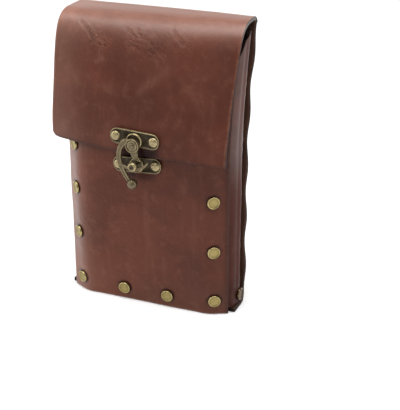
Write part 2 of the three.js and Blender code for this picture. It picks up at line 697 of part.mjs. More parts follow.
function plateShape() {
  const halfLength = PLATE_LENGTH / 2;
  const halfHeight = PLATE_HEIGHT / 2;
  const radius = PLATE_CORNER;
  const shape = new THREE.Shape();
  shape.absarc(halfLength - radius, halfHeight - radius, radius, 0, Math.PI / 2);
  shape.absarc(-halfLength + radius, halfHeight - radius, radius, Math.PI / 2, Math.PI);
  shape.absarc(-halfLength + radius, -halfHeight + radius, radius, Math.PI, 1.5 * Math.PI);
  shape.absarc(halfLength - radius, -halfHeight + radius, radius, 1.5 * Math.PI, 2 * Math.PI);
  return shape;
}

function disc(radius) {
  return new THREE.Shape().absarc(0, 0, radius, 0, 2 * Math.PI);
}

// A plate with its raised round part, bored for its studs. Both are drawn from the pivot or the post.
function platePiece(base, middle, bossRadius, bossMiddle) {
  const bar = standOut(plateShape(), base, PLATE_THICKNESS, 2).translate(middle.x, 0, middle.y);
  const boss = standOut(disc(bossRadius), base, bossFace, ROUND_SIDES / 2);
  const studHole = bore(base, STUD_POST).translate(middle.x, 0, middle.y);
  const studHoles = sides.map(({ sign }) => studHole.clone().translate((sign * STUD_PITCH) / 2, 0, 0));
  return cut(join([bar, boss.translate(bossMiddle.x, 0, bossMiddle.y)]), studHoles);
}

const hookBase = upperBase - bossFace - GAP;
const hookFace = hookBase - HOOK_THICKNESS;

function addUpperPlate() {
  const boss = new THREE.Vector2(0, PIVOT_BOSS_OFFSET);
  const plate = cut(platePiece(upperBase, upperMiddle, PIVOT_BOSS, boss), [bore(upperBase, PIVOT_POST)]);
  const mesh = addNode("clasp_upper_plate", plate, BRONZE_LOOK);
  mesh.position.set(-CLASP_SIDE, 0, pivotHeight);
  mesh.rotation.y = upperTurn;
}

// The lower plate carries the headed post that the hook catches.
function addLowerPlate() {
  const neck = CATCH_NECK / 2;
  const head = CATCH_HEAD / 2;
  const reach = lowerBase - hookFace + GAP;
  const post = turnedOut(
    [
      [0, PLATE_THICKNESS / 2],
      [neck, PLATE_THICKNESS / 2],
      [neck, reach],
      [head * 0.8, reach],
      [head, reach + CATCH_RISE * 0.3],
      [head, reach + CATCH_RISE * 0.6],
      [head * 0.72, reach + CATCH_RISE * 0.94],
      [head * 0.45, reach + CATCH_RISE],
      [head * 0.3, reach + CATCH_RISE * 0.6],
      [0, reach + CATCH_RISE * 0.6],
    ],
    lowerBase,
  );
  const plate = platePiece(lowerBase, lowerMiddle, CATCH_BOSS, lowerMiddle);
  const mesh = addNode("clasp_lower_plate", join([plate, post]), BRONZE_LOOK);
  mesh.position.set(catchX, 0, catchHeight);
  mesh.rotation.y = lowerTurn;
}

// A limb of the hook as a flat outline of changing width round a smooth line.
function limb(stations, base) {
  const line = new THREE.CatmullRomCurve3(
    stations.map(({ right, up }) => new THREE.Vector3(right * HOOK_REACH, up * HOOK_REACH, 0)),
  );
  const widths = stations.map((station, i) => new THREE.Vector3(i, station.width * HOOK_REACH, 0));
  const width = new THREE.CatmullRomCurve3(widths);
  const count = stations.length * 2;
  const edge = (side) =>
    steps(0, 1, count).map((share) => {
      const { x: alongX, y: alongY } = line.getTangent(share);
      const half = (side * width.getPoint(share).y) / 2;
      const { x, y } = line.getPoint(share);
      return new THREE.Vector2(x - alongY * half, y + alongX * half);
    });
  return standOut(new THREE.Shape([...edge(-1), ...edge(1).reverse()]), base, HOOK_THICKNESS);
}

// The jaw passes under the post on an arc round the pivot and ends in a point.
function jaw(base) {
  const inner = Math.hypot(HOOK_REACH, CATCH_SIDE) + CATCH_NECK / 2 + HOOK_CLEARANCE;
  const angles = steps(radians(JAW.from), radians(JAW.to), 8);
  const onArc = (angle, radius) => new THREE.Vector2(radius * Math.sin(angle), -radius * Math.cos(angle));
  const outerEdge = angles.map((angle, i) => {
    const share = Math.max(0, (i / 8 - 0.5) / 0.5);
    return onArc(angle, inner + HOOK_REACH * THREE.MathUtils.lerp(JAW.width, JAW.tip, share ** 2));
  });
  const innerEdge = angles.map((angle) => onArc(angle, inner)).reverse();
  return standOut(new THREE.Shape([...outerEdge, ...innerEdge]), base, HOOK_THICKNESS);
}

function addHook() {
  const ball = new THREE.SphereGeometry(BALL_RADIUS, 12, 8).translate(
    BALL_AT.right * HOOK_REACH,
    hookBase - HOOK_THICKNESS / 2,
    BALL_AT.up * HOOK_REACH,
  );
  const eye = standOut(disc(HOOK_EYE), hookBase, HOOK_THICKNESS, ROUND_SIDES / 2);
  const body = join([eye, limb(LEFT_ARM, hookBase), limb(RIGHT_ARM, hookBase), jaw(hookBase), ball]);
  const mesh = addNode("clasp_hook", cut(body, [bore(hookBase, PIVOT_POST)]), BRONZE_LOOK);
  mesh.position.set(-CLASP_SIDE, 0, pivotHeight);
}

// A headed pin through a plate and the leather behind it, clenched inside.
function pinProfile(headDiameter, headRise, postDiameter, seat, behind) {
  const head = headDiameter / 2;
  const post = postDiameter / 2;
  return [
    [0, behind - TAIL_RISE],
    [post * 1.7, behind - TAIL_RISE],
    [post * 1.7, behind],
    [post, behind],
    [post, seat],
    [head, seat],
    [head, seat + headRise * 0.35],
    [head * 0.75, seat + headRise * 0.85],
    [0, seat + headRise],
  ];
}

function addPins() {
  const plates = [
    { plate: "upper", studs: upperStuds, base: upperBase },
    { plate: "lower", studs: lowerStuds, base: lowerBase },
  ];
  for (const { plate, studs, base } of plates) {
    for (const { side, x, z, depth } of studs) {
      const behind = base - depth - LEATHER - GAP;
      const profile = pinProfile(STUD_HEAD, STUD_RISE, STUD_POST, PLATE_THICKNESS + GAP / 3, behind);
      const stud = addNode(`${plate}_stud_${side}`, turnedOut(profile, base, RIVET_SIDES), BRONZE_LOOK);
      stud.position.set(x, 0, z);
    }
  }
  const behind = upperBase - flapDepth(-CLASP_SIDE, pivotHeight) - LEATHER - GAP;
  const seat = upperBase - hookFace + GAP;
  const pivot = turnedOut(pinProfile(PIVOT_HEAD, PIVOT_RISE_OUT, PIVOT_POST, seat, behind), upperBase);
  addNode("clasp_pivot", pivot, BRONZE_LOOK).position.set(-CLASP_SIDE, 0, pivotHeight);
}

addBackWithFlap();
addFrontPanel();
addBeltLoop();
addRivets();
addUpperPlate();
addLowerPlate();
addHook();
addPins();

// Stand the pouch over the origin.
const box = new THREE.Box3().setFromObject(pouch);
pouch.position.set(-(box.min.x + box.max.x) / 2, -(box.min.y + box.max.y) / 2, -box.min.z);

export default pouch;
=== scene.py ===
# %% [markdown]
# # A riveted leather belt pouch
# The pouch stands on its base, closed by a long flap and a cast swing clasp.
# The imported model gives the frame: every piece made here goes where that model says, in metres.
# Sizes below are written in millimetres, as a leather worker would, and turned to metres once.

# %% Load the frame
import math

import bmesh
import bpy
from mathutils import Matrix, Vector, noise


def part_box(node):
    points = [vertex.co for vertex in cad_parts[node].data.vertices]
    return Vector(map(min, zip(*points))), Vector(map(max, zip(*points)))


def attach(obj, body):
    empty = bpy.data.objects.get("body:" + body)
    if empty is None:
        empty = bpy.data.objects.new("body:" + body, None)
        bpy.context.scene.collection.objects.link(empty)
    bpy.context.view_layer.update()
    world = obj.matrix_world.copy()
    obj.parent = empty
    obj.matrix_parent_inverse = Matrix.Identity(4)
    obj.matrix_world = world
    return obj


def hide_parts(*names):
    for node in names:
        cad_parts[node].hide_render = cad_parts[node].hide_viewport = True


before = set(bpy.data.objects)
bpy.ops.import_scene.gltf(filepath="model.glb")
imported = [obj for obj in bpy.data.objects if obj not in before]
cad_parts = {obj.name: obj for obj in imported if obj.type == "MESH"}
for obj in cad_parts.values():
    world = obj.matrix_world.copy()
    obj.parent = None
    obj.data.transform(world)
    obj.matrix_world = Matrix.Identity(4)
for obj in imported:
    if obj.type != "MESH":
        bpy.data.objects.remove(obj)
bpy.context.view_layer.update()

print("nodes in the frame:", len(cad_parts))

# %% [markdown]
# ## Sizes of the pouch
# These are the pouch's own measurements. Depth, y, counts back from the foot of the front panel, in its
# middle, and the frame's furthest point back says where that is.

# %% Sizes
LEATHER = 2.2
GUSSET_LEATHER = 1.8
GAP = 0.3
HEIGHT = 180
BODY_DEPTH = 27
TOP_DEPTH = 41
FRONT_WIDTH = 105.6
BACK_WIDTH = 112
GUSSET_WIDTH = 111
GUSSET_BULGE = 1
GUSSET_FOLD = 4
FLANGE = 16
CORNER_RADIUS = 14
CORNER_TURN = math.radians(45)
CUT_BEVEL = 0.38
EDGE_DEPTH = 6
FRONT_BELLY = 5
BELLY_HEIGHT = 85
MOUTH_DROP = 24
GUSSET_DROP = 8
LEAN_DROP = 72
FRONT_LEAN = 10
LEAN_POWER = 1.2
BASE_FRONT_BEND = 4
BASE_BACK_BEND = 6
LIP_HEIGHT = 16
LIP_WIDTH = 68
FLAP_DROP = 77.7
LEFT_LIFT = 2.9
RIGHT_LIFT = -0.5
FLAP_SHIFT = 1.2
EDGE_WAVE = 0.6
RIVET_INSET = 7.6
FIRST_RIVET = 8
RIVET_PITCH = 33
RIVET_X = FRONT_WIDTH / 2 - RIVET_INSET
FRONT_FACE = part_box("back_with_flap")[1].y * 1000 - TOP_DEPTH


def at(x, y, z):
    return Vector((x, y + FRONT_FACE, z)) / 1000


print("front face at", round(FRONT_FACE, 2), "mm")

# %% [markdown]
# ## The camera
# The picture was taken from a little to the right and from above, with a long lens.
# A Blender camera looks down its own -Z, so 66 degrees of tilt puts it 24 degrees above the horizon.
# The lens is worked out from a focal length counted in pixels, because that is what a fit gives.

# %% Camera
PICTURE = (400, 410)
FOCAL_PIXELS = 1040
CAMERA_AT = at(246.8, -520.9, 323.2)
CAMERA_TURN = 22
CAMERA_HEIGHT = 24

camera_data = bpy.data.cameras.new("camera")
camera_data.sensor_width = 36
camera_data.lens = FOCAL_PIXELS * camera_data.sensor_width / max(PICTURE)
camera = bpy.data.objects.new("camera", camera_data)
bpy.context.scene.collection.objects.link(camera)
camera.location = CAMERA_AT
camera.rotation_euler = (math.radians(90 - CAMERA_HEIGHT), 0, math.radians(CAMERA_TURN))
camera_data.clip_end = 20
bpy.context.scene.camera = camera
print("lens", round(camera_data.lens, 1), "mm")

# %% [markdown]
# ## The lines of the body
# The front panel is full in its middle, leans back towards its mouth and turns back at its edges.
# The back and the flap follow a smooth line through a few sections, so a small spline does both.
# A centripetal spline is chosen, because it never overshoots where two points lie close.

# %% Spline through points


def spline(points, count):
    ends = [points[0] * 2 - points[1]] + points + [points[-1] * 2 - points[-2]]
    line = []
    for step in range(count + 1):
        place = (len(points) - 1) * step / count
        first = min(int(place), len(points) - 2)
        a, b, c, d = ends[first : first + 4]
        gaps = [max((q - p).length, 1e-9) ** 0.5 for p, q in ((a, b), (b, c), (c, d))]
        leave = ((b - a) / gaps[0] - (c - a) / (gaps[0] + gaps[1]) + (c - b) / gaps[1]) * gaps[1]
        arrive = ((c - b) / gaps[1] - (d - b) / (gaps[1] + gaps[2]) + (d - c) / gaps[2]) * gaps[1]
        t = place - first
        cubic = b * 2 - c * 2 + leave + arrive
        square = c * 3 - b * 3 - leave * 2 - arrive
        line.append(b + leave * t + square * t**2 + cubic * t**3)
    return line


# %% Front and back of the body
ROUNDED = CORNER_RADIUS * math.sin(CORNER_TURN)
CORNER_START = RIVET_X - ROUNDED
BACK_SECTIONS = [
    (0.33, 0.0),
    (0.57, 0.06),
    (0.68, 0.18),
    (0.78, 0.36),
    (0.86, 0.58),
    (0.93, 0.82),
    (0.974, 1.0),
]
back_line = spline(
    [Vector((BODY_DEPTH, BASE_BACK_BEND))]
    + [Vector((BODY_DEPTH + lean * (TOP_DEPTH - BODY_DEPTH), up * HEIGHT)) for up, lean in BACK_SECTIONS],
    160,
)


def turned_back(x):
    """None before the corner starts, a round to the rivets, and straight on to the edge."""
    beyond = max(0, abs(x) - CORNER_START)
    rounding = min(beyond, ROUNDED)
    straight = (beyond - rounding) * math.tan(CORNER_TURN)
    return CORNER_RADIUS - math.sqrt(CORNER_RADIUS**2 - rounding**2) + straight


def front_depth(x, z):
    belly = FRONT_BELLY * math.sin(math.pi / 2 * min(z / BELLY_HEIGHT, 2))
    turn = turned_back(x) / turned_back(FRONT_WIDTH / 2) * (EDGE_DEPTH + belly)
    above = max(0, z - (HEIGHT - LEAN_DROP)) / (LEAN_DROP - MOUTH_DROP)
    return turn - belly + FRONT_LEAN * above**LEAN_POWER


def back_depth(x, z):
    for low, high in zip(back_line, back_line[1:]):
        if high.y > z:
            share = (z - low.y) / (high.y - low.y)
            return BODY_DEPTH if share < 0 else low.x + (high.x - low.x) * share
    return back_line[-1].x


def slant(depth, x, z):
    sideways = depth(x + 0.5, z) - depth(x - 0.5, z)
    upwards = depth(x, z + 0.5) - depth(x, z - 0.5)
    return sideways, upwards, math.sqrt(1 + sideways**2 + upwards**2)


print("back leans to", round(back_line[-1].x, 1), "mm")

# %% [markdown]
# ## A sheet of leather
# Every leather piece is a flat sheet that has been bent. So each one starts as a fine grid, and a
# function says where a point of the flat sheet goes on the bent one. Solidify then gives the thickness,
# with the flesh side and the cut edge in materials of their own, and a small bevel rounds the cut edge.
# The grid also remembers how far each point is from the cut edge, for the finish to read.

# %% Sheet maker


def spread(start, end, count):
    return [start + (end - start) * i / count for i in range(count + 1)]


def bent_sheet(columns, rows, place, size, flip=False, trim=None):
    bm = bmesh.new()
    bmesh.ops.create_grid(bm, x_segments=columns, y_segments=rows, size=0.5)
    if trim:
        trim(bm)
    edge = bm.verts.layers.float.new("edge_mm")
    for v in bm.verts:
        u, w = v.co.x + 0.5, v.co.y + 0.5
        v[edge] = min(u * size[0], (1 - u) * size[0], w * size[1], (1 - w) * size[1])
        v.co = place(u, w)
    if flip:
        bmesh.ops.reverse_faces(bm, faces=bm.faces[:])
    bm.normal_update()
    return bm


def press(bm, relief):
    """Moves each point along its normal by relief(x, y, z) millimetres."""
    moved = []
    for v in bm.verts:
        x, y, z = v.co * 1000
        moved.append((v, v.co + v.normal * relief(x, y - FRONT_FACE, z) / 1000))
    for v, co in moved:
        v.co = co
    bm.normal_update()


def finish_sheet(bm, name, thickness, materials, node):
    mesh = bpy.data.meshes.new(name)
    bm.to_mesh(mesh)
    bm.free()
    for polygon in mesh.polygons:
        polygon.use_smooth = True
    piece = bpy.data.objects.new(name, mesh)
    bpy.context.scene.collection.objects.link(piece)
    for material in materials:
        mesh.materials.append(material)
    wall = piece.modifiers.new("wall", "SOLIDIFY")
    wall.thickness = thickness / 1000
    wall.offset = -1
    wall.use_even_offset = True
    wall.material_offset_rim = 1
    wall.material_offset = 2
    edge = piece.modifiers.new("rounded edge", "BEVEL")
    edge.limit_method = "ANGLE"
    edge.angle_limit = math.radians(55)
    edge.width = CUT_BEVEL / 1000
    edge.segments = 2
    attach(piece, "pouch")
    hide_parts(node)
    print(name, len(mesh.polygons), "faces before its wall")


# %% [markdown]
# ## Where the rivets go
# The rivets pull the leather in around them, so their places are needed before the leather is pressed.
# A place is a point on the outside of the leather, with the direction that points away from it.

# %% Rivet places
BACK_HEIGHTS = [FIRST_RIVET + i * RIVET_PITCH for i in range(5)]
FRONT_HEIGHTS = {  # shares of the pouch's height
    "left": (0.05, 0.233, 0.402, 0.561, 0.748),
    "right": (0.052, 0.241, 0.424, 0.604, 0.778),
}
SIDES = (("left", -1), ("right", 1))
LOOP_TOP = 118
LOOP_SLOT = 44
LOOP_END = 12
LOOP_SLOPE = 5
LOOP_BOTTOM = LOOP_TOP - LOOP_SLOT - 2 * (LOOP_END + LOOP_SLOPE)
LOOP_RIVET_X = 20
BASE_RIVET_X = 14.7
CORNER_CAP = 1.8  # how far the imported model's corner rivets stand out of the leather


def place_on(depth, x, z, facing):
    sideways, upwards, _ = slant(depth, x, z)
    outwards = Vector((sideways, -1, upwards)).normalized() * facing
    return Vector((x, depth(x, z), z)), outwards


rivets = {}
for side, sign in SIDES:
    for i, share in enumerate(FRONT_HEIGHTS[side]):
        rivets[f"front_rivet_{side}_{i + 1}"] = place_on(front_depth, sign * RIVET_X, share * HEIGHT, 1)
    for i, z in enumerate(BACK_HEIGHTS):
        lifted = max(z, BASE_BACK_BEND + 4)
        rivets[f"back_rivet_{side}_{i + 1}"] = place_on(back_depth, sign * RIVET_X, lifted, -1)
    rivets[f"base_rivet_{side}"] = place_on(front_depth, sign * BASE_RIVET_X, FIRST_RIVET, 1)
    for level, z in (("lower", LOOP_BOTTOM + LOOP_END / 2), ("upper", LOOP_TOP - LOOP_END / 2)):
        seat = back_depth(0, z) + GAP + LEATHER
        rivets[f"loop_rivet_{level}_{side}"] = (Vector((sign * LOOP_RIVET_X, seat, z)), Vector((0, 1, 0)))
    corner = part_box(f"corner_rivet_{side}")
    seat = max(abs(corner[0].x), abs(corner[1].x)) * 1000 - CORNER_CAP
    middle = (corner[0].y + corner[1].y) * 500 - FRONT_FACE
    rivets[f"corner_rivet_{side}"] = (Vector((sign * seat, middle, FIRST_RIVET)), Vector((sign, 0, 0)))
print("rivets", len(rivets))


def rivet_pull(x, y, z, names, reach=5.6, depth=0.42):
    pull = 0
    for name in names:
        away = (Vector((x, y, z)) - rivets[name][0]).length
        if away < 4 * reach:
            pull -= depth * math.exp(-((away / reach) ** 2))
            pull += 0.3 * depth * math.exp(-(((away - 1.7 * reach) / (0.6 * reach)) ** 2))
    return pull


# %% [markdown]
# ## Finishes: a leather surface as one node group
# Waxed leather is a warm brown with darker clouds, paler pull-up marks where it was bent, fine slanting
# wrinkles and a pebbly grain. The pale marks also hold a painted highlight along the fold and down the left
# side, the wrinkles get painted shade in their grooves and a painted highlight on their ridges, and a mask
# of painted
# shade darkens the colour where shadow falls. A wrinkle is where a bent, slanted noise crosses its middle
# value:
# that gives long thin lines that part and meet, as creased leather does. All leather pieces share these
# effects, so they are one node group with its own inputs: it gives out a colour, a roughness and a height,
# and each material sets the amounts.

# %% Node helpers


def linear(value):
    return ((value / 255 + 0.055) / 1.055) ** 2.4 if value > 10 else value / 3295


def tint(red, green, blue):
    """A colour from 0 to 255 as the eye sees it, turned to the linear one that shaders use."""
    return linear(red), linear(green), linear(blue), 1


class Wiring:
    """Adds nodes to a tree and wires them: an input is a number, a colour or another node's output."""

    def __init__(self, tree):
        self.tree = tree

    def add(self, kind, settings=None, **inputs):
        node = self.tree.nodes.new(kind)
        for key, value in (settings or {}).items():
            setattr(node, key, value)
        for key, value in inputs.items():
            numbered = key[0] == "i" and key[1:].isdigit()
            socket = node.inputs[int(key[1:]) if numbered else key]
            if isinstance(value, bpy.types.NodeSocket):
                self.tree.links.new(value, socket)
            else:
                socket.default_value = value
        return node

    def math(self, operation, a, b=0.0):
        return self.add("ShaderNodeMath", {"operation": operation}, i0=a, i1=b).outputs[0]

    def noise(self, vector, scale, detail=3.0, rough=0.55):
        made = self.add("ShaderNodeTexNoise", Vector=vector, Scale=scale, Detail=detail, Roughness=rough)
        return made.outputs["Fac"]

    def stretch(self, vector, scale, turn=(0, 0, 0)):
        made = self.add("ShaderNodeMapping", Vector=vector, Scale=scale, Rotation=turn)
        return made.outputs[0]

    def ramp(self, value, low, high, out_low=0.0, out_high=1.0):
        made = self.add("ShaderNodeMapRange", {"interpolation_type": "SMOOTHSTEP"}, Value=value)
        ends = {"From Min": low, "From Max": high, "To Min": out_low, "To Max": out_high}
        for key, number in ends.items():
            made.inputs[key].default_value = number
        return made.outputs[0]

    def mix(self, amount, a, b):
        """Sockets 6 and 7 of a mix node are its two colours, and output 2 is the mixed one."""
        return self.add("ShaderNodeMix", {"data_type": "RGBA"}, i0=amount, i6=a, i7=b).outputs[2]


def new_group(name, inputs, outputs):
    tree = bpy.data.node_groups.new(name, "ShaderNodeTree")
    for label, kind, value in inputs:
        socket = tree.interface.new_socket(label, in_out="INPUT", socket_type=kind)
        if value is not None:
            socket.default_value = value
    for label, kind in outputs:
        tree.interface.new_socket(label, in_out="OUTPUT", socket_type=kind)
    wires = Wiring(tree)
    return tree, wires, wires.add("NodeGroupInput").outputs, wires.add("NodeGroupOutput")


# %% Leather group
WRINKLE_SLANT = (0, -0.7, 0)
WRINKLE_STRETCH = (0.22, 1, 1)
WRINKLE_BEND = (0.004, 0.004, 0.004)
# Painted shade: the dark colour that the painted-shade mask mixes in where shadow falls.
SHADE_TINT = tint(32, 12, 9)

leather_tree, wires, given, result = new_group(
    "waxed_leather",
    [
        ("Vector", "NodeSocketVector", None),
        ("Base", "NodeSocketColor", tint(112, 66, 52)),
        ("Deep", "NodeSocketColor", tint(74, 40, 32)),
        ("Bloom", "NodeSocketColor", tint(150, 104, 88)),
        ("Crackle", "NodeSocketFloat", 0.3),
        ("Edge", "NodeSocketFloat", 10.0),
        ("Rub", "NodeSocketFloat", 0.0),
        ("Stain", "NodeSocketFloat", 0.0),
    ],
    [("Color", "NodeSocketColor"), ("Roughness", "NodeSocketFloat"), ("Height", "NodeSocketFloat")],
)
place = given["Vector"]
clouds = wires.ramp(wires.noise(place, 26, 4, 0.6), 0.36, 0.64)
mottle = wires.noise(place, 150, 5, 0.65)
streaks = wires.ramp(wires.noise(wires.stretch(place, (170, 170, 14)), 1.0, 3), 0.52, 0.72)
warp = wires.add("ShaderNodeTexNoise", Vector=place, Scale=120, Detail=2).outputs["Color"]
bent = wires.add("ShaderNodeVectorMath", {"operation": "MULTIPLY_ADD"}, i0=warp, i1=WRINKLE_BEND, i2=place)
slanted = wires.stretch(wires.stretch(bent.outputs[0], (1, 1, 1), WRINKLE_SLANT), WRINKLE_STRETCH)
ridges, fine_ridges = (
    wires.math("ABSOLUTE", wires.math("SUBTRACT", wires.noise(slanted, scale, detail, 0.6), 0.5))
    for scale, detail in ((230, 2.0), (700, 3.0))
)
patches = wires.math("MULTIPLY", wires.ramp(wires.noise(place, 48, 3), 0.42, 0.62), 0.5)
where = wires.math("MULTIPLY", wires.math("ADD", patches, 0.55), given["Crackle"])
lines = wires.math("MULTIPLY", wires.ramp(ridges, 0.0, 0.045, 1, 0), where)
hairs = wires.math("MULTIPLY", wires.ramp(fine_ridges, 0.0, 0.05, 1, 0), where)
brown = wires.mix(wires.ramp(clouds, 0, 1, 0.2, 0.65), given["Base"], given["Deep"])
brown = wires.mix(wires.math("MULTIPLY", wires.ramp(mottle, 0.5, 0.72), 0.1), brown, given["Bloom"])
brown = wires.mix(wires.math("MULTIPLY", streaks, 0.06), brown, given["Bloom"])
# Painted shade in the wrinkles' grooves and a painted highlight on the fine wrinkles' ridges, on top of
# their bump.
brown = wires.mix(wires.math("MULTIPLY", lines, 0.42), brown, given["Deep"])
brown = wires.mix(wires.math("MULTIPLY", hairs, 0.34), brown, given["Bloom"])
# Rubbed wear, with a painted highlight along the fold and down the left side, is mixed towards the pale
# colour.
worn = wires.math("MULTIPLY", given["Rub"], wires.ramp(mottle, 0.25, 0.7, 0.7, 1))
brown = wires.mix(worn, brown, given["Bloom"])
rubbed = wires.ramp(given["Edge"], 0.2, 1.7, 1, 0)
rubbed = wires.math("MULTIPLY", rubbed, wires.ramp(wires.noise(place, 300, 2), 0.3, 0.6, 0.3, 1))
brown = wires.mix(wires.math("MULTIPLY", rubbed, 0.3), brown, given["Bloom"])
# Painted shade and painted shadow are mixed in last, through the painted-shade input.
brown = wires.mix(given["Stain"], brown, SHADE_TINT)
pebbles = wires.add("ShaderNodeTexVoronoi", Vector=place, Scale=1150, Randomness=1).outputs["Distance"]
height = wires.math("MULTIPLY", pebbles, -0.22)
height = wires.math("ADD", height, wires.math("MULTIPLY", mottle, 0.8))
height = wires.math("SUBTRACT", height, wires.math("MULTIPLY", lines, 3.4))
height = wires.math("SUBTRACT", height, wires.math("MULTIPLY", hairs, 0.35))
gloss = wires.math("ADD", wires.ramp(mottle, 0.3, 0.7, 0.37, 0.5), wires.math("MULTIPLY", lines, 0.15))
wires.tree.links.new(brown, result.inputs["Color"])
wires.tree.links.new(gloss, result.inputs["Roughness"])
wires.tree.links.new(height, result.inputs["Height"])
print("leather group has", len(leather_tree.nodes), "nodes")

# %% Leather materials


def new_material(name):
    material = bpy.data.materials.new(name)
    material.use_nodes = True
    material.node_tree.nodes.clear()
    wires = Wiring(material.node_tree)
    shader = wires.add("ShaderNodeBsdfPrincipled")
    wires.add("ShaderNodeOutputMaterial", Surface=shader.outputs[0])
    return material, wires, shader


def leather(name, base, deep, bloom, crackle=None, bump=0.28, shine=0.15):
    material, wires, shader = new_material(name)
    place = wires.add("ShaderNodeTexCoord").outputs["Object"]
    # Each point also carries rubbed wear with a painted highlight, and a mask of painted shade.
    edge, rub, stain, polish = (
        wires.add("ShaderNodeAttribute", {"attribute_name": label}).outputs["Fac"]
        for label in ("edge_mm", "rub", "stain", "polish")
    )
    if crackle is None:
        crackle = wires.add("ShaderNodeAttribute", {"attribute_name": "crackle"}).outputs["Fac"]
    group = wires.add(
        "ShaderNodeGroup", {"node_tree": leather_tree},
        Vector=place, Base=base, Deep=deep, Bloom=bloom, Crackle=crackle, Edge=edge, Rub=rub, Stain=stain,
    )
    relief = wires.add("ShaderNodeBump", Height=group.outputs["Height"], Strength=bump, Distance=0.0006)
    wires.tree.links.new(group.outputs["Color"], shader.inputs["Base Color"])
    wires.tree.links.new(group.outputs["Roughness"], shader.inputs["Roughness"])
    wires.tree.links.new(relief.outputs[0], shader.inputs["Normal"])
    wires.tree.links.new(polish, shader.inputs["Coat Weight"])
    shader.inputs["Coat Roughness"].default_value = 0.36
    shader.inputs["Specular IOR Level"].default_value = shine
    return material


grain_side = leather("leather_grain", tint(95, 48, 33), tint(65, 32, 22), tint(154, 107, 89))
gusset_side = leather(
    "leather_gusset", tint(90, 46, 35), tint(58, 29, 22), tint(122, 88, 78), 0.2, 0.2, shine=0.09
)
flesh_side = leather("leather_flesh", tint(74, 50, 39), tint(48, 31, 24), tint(100, 73, 58), 0.1, 0.6)
cut_edge = leather(
    "leather_cut_edge", tint(34, 21, 17), tint(18, 11, 9), tint(62, 44, 37), 0.0, 0.5, shine=0.03
)
print("leather materials", [m.name for m in (grain_side, gusset_side, flesh_side, cut_edge)])

# %% [markdown]
# ## Back, fold and flap in one piece
# One long piece of leather makes the inner lip, the base, the back, the fold and the flap. Cutting it from
# one sheet is how such pouches are made, and its edge shows as one band down the side. The course of the
# sheet is found for its left edge, middle and right edge, because the flap hangs a little askew.

# %% Course of the sheet
FLAP_SECTIONS = [
    (0.008, 0.93, 0.94, 0.91),
    (0.0, 0.7, 0.755, 0.71),
    (0.017, 0.32, 0.44, 0.54),
    (0.069, 0.17, 0.26, 0.4),
    (0.163, 0.07, 0.12, 0.285),
    (0.289, 0.005, 0.015, 0.195),
    (0.427, -0.04, -0.07, 0.085),
    (0.628, -0.095, -0.15, -0.05),
    (0.816, -0.14, -0.196, -0.145),
    (1.0, -0.14, -0.21, -0.21),
]


def arc(y, z, radius, start, end, count=10):
    turns = [math.radians(a) for a in spread(start, end, count)]
    return [Vector((0, y + radius * math.cos(a), z + radius * math.sin(a))) for a in turns]


def sheet_course(column, lift):
    lip_face = LEATHER + GAP
    lip = [Vector((0, lip_face + front_depth(0, z), z)) for z in spread(LIP_HEIGHT, BASE_FRONT_BEND + 1, 4)]
    front_bend = arc(lip_face + BASE_FRONT_BEND, BASE_FRONT_BEND, BASE_FRONT_BEND, 180, 270)
    back_bend = arc(BODY_DEPTH - BASE_BACK_BEND, BASE_BACK_BEND, BASE_BACK_BEND, 270, 360)
    top = BACK_SECTIONS[-1][0] * HEIGHT
    back = [Vector((0, back_depth(0, z), z)) for z in spread(BASE_BACK_BEND, top, 90)[1:-1]]
    fold = [Vector((0, back_line[-1].x, back_line[-1].y))]
    for section in FLAP_SECTIONS:
        fall = section[0]
        raised = lift * max(0, (fall - 0.5) / 0.5)
        fold.append(Vector((fall, section[column] * TOP_DEPTH, HEIGHT - fall * FLAP_DROP + raised)))
    return lip + front_bend + back_bend + back + spline(fold, 150)


courses = [sheet_course(1, LEFT_LIFT), sheet_course(2, 0), sheet_course(3, RIGHT_LIFT)]
lengths = [0]
for before, after in zip(courses[1], courses[1][1:]):
    lengths.append(lengths[-1] + (after - before).yz.length)
SHEET_LENGTH = lengths[-1]
print("sheet is", round(SHEET_LENGTH), "mm long")

# %% From the flat sheet to the bent one


def course_at(along):
    i = next((k for k, reached in enumerate(lengths[1:]) if reached >= along), len(lengths) - 2)
    share = (along - lengths[i]) / max(lengths[i + 1] - lengths[i], 1e-9)
    return [course[i].lerp(course[i + 1], min(max(share, 0), 1)) for course in courses]


course_cache = {}
FLAP_CORNER = 5


def sheet_place(u, w):
    key = round(w, 6)
    if key not in course_cache:
        course_cache[key] = course_at(w * SHEET_LENGTH)
    left, middle, right = course_cache[key]
    share = 2 * u - 1
    y, z = (
        left[k] * share * (share - 1) / 2 + middle[k] * (1 - share**2) + right[k] * share * (share + 1) / 2
        for k in (1, 2)
    )
    half = BACK_WIDTH / 2
    if middle.y > BODY_DEPTH * 0.9 and middle.x == 0:
        half -= EDGE_WAVE * math.cos((middle.z - FIRST_RIVET) / RIVET_PITCH * 2 * math.pi)
    if share < 0 and w > 0.9:
        short = max(0, FLAP_CORNER - (1 - w) * SHEET_LENGTH)
        half -= FLAP_CORNER - math.sqrt(FLAP_CORNER**2 - short**2)
    return at(share * half - FLAP_SHIFT * middle.x**2, y, z)


def cut_lip(bm):
    """The lip and its bend are only as wide as the space between the front flanges."""
    bend_end = LIP_HEIGHT + BASE_FRONT_BEND * (math.pi / 2 - 1)
    panel_end = EDGE_DEPTH - BASE_FRONT_BEND + GAP
    notch = (bend_end + panel_end) / SHEET_LENGTH - 0.5
    reach = LIP_WIDTH / BACK_WIDTH / 2
    cuts = [
        ((0, notch, 0), (0, 1, 0)),
        ((-reach, 0, 0), (1, 0, 0)),
        ((reach, 0, 0), (1, 0, 0)),
    ]
    for point, normal in cuts:
        everything = bm.verts[:] + bm.edges[:] + bm.faces[:]
        bmesh.ops.bisect_plane(bm, geom=everything, plane_co=point, plane_no=normal, dist=1e-5)
    outside = [
        f for f in bm.faces
        if f.calc_center_median().y < notch and abs(f.calc_center_median().x) > reach
    ]
    bmesh.ops.delete(bm, geom=outside, context="FACES")
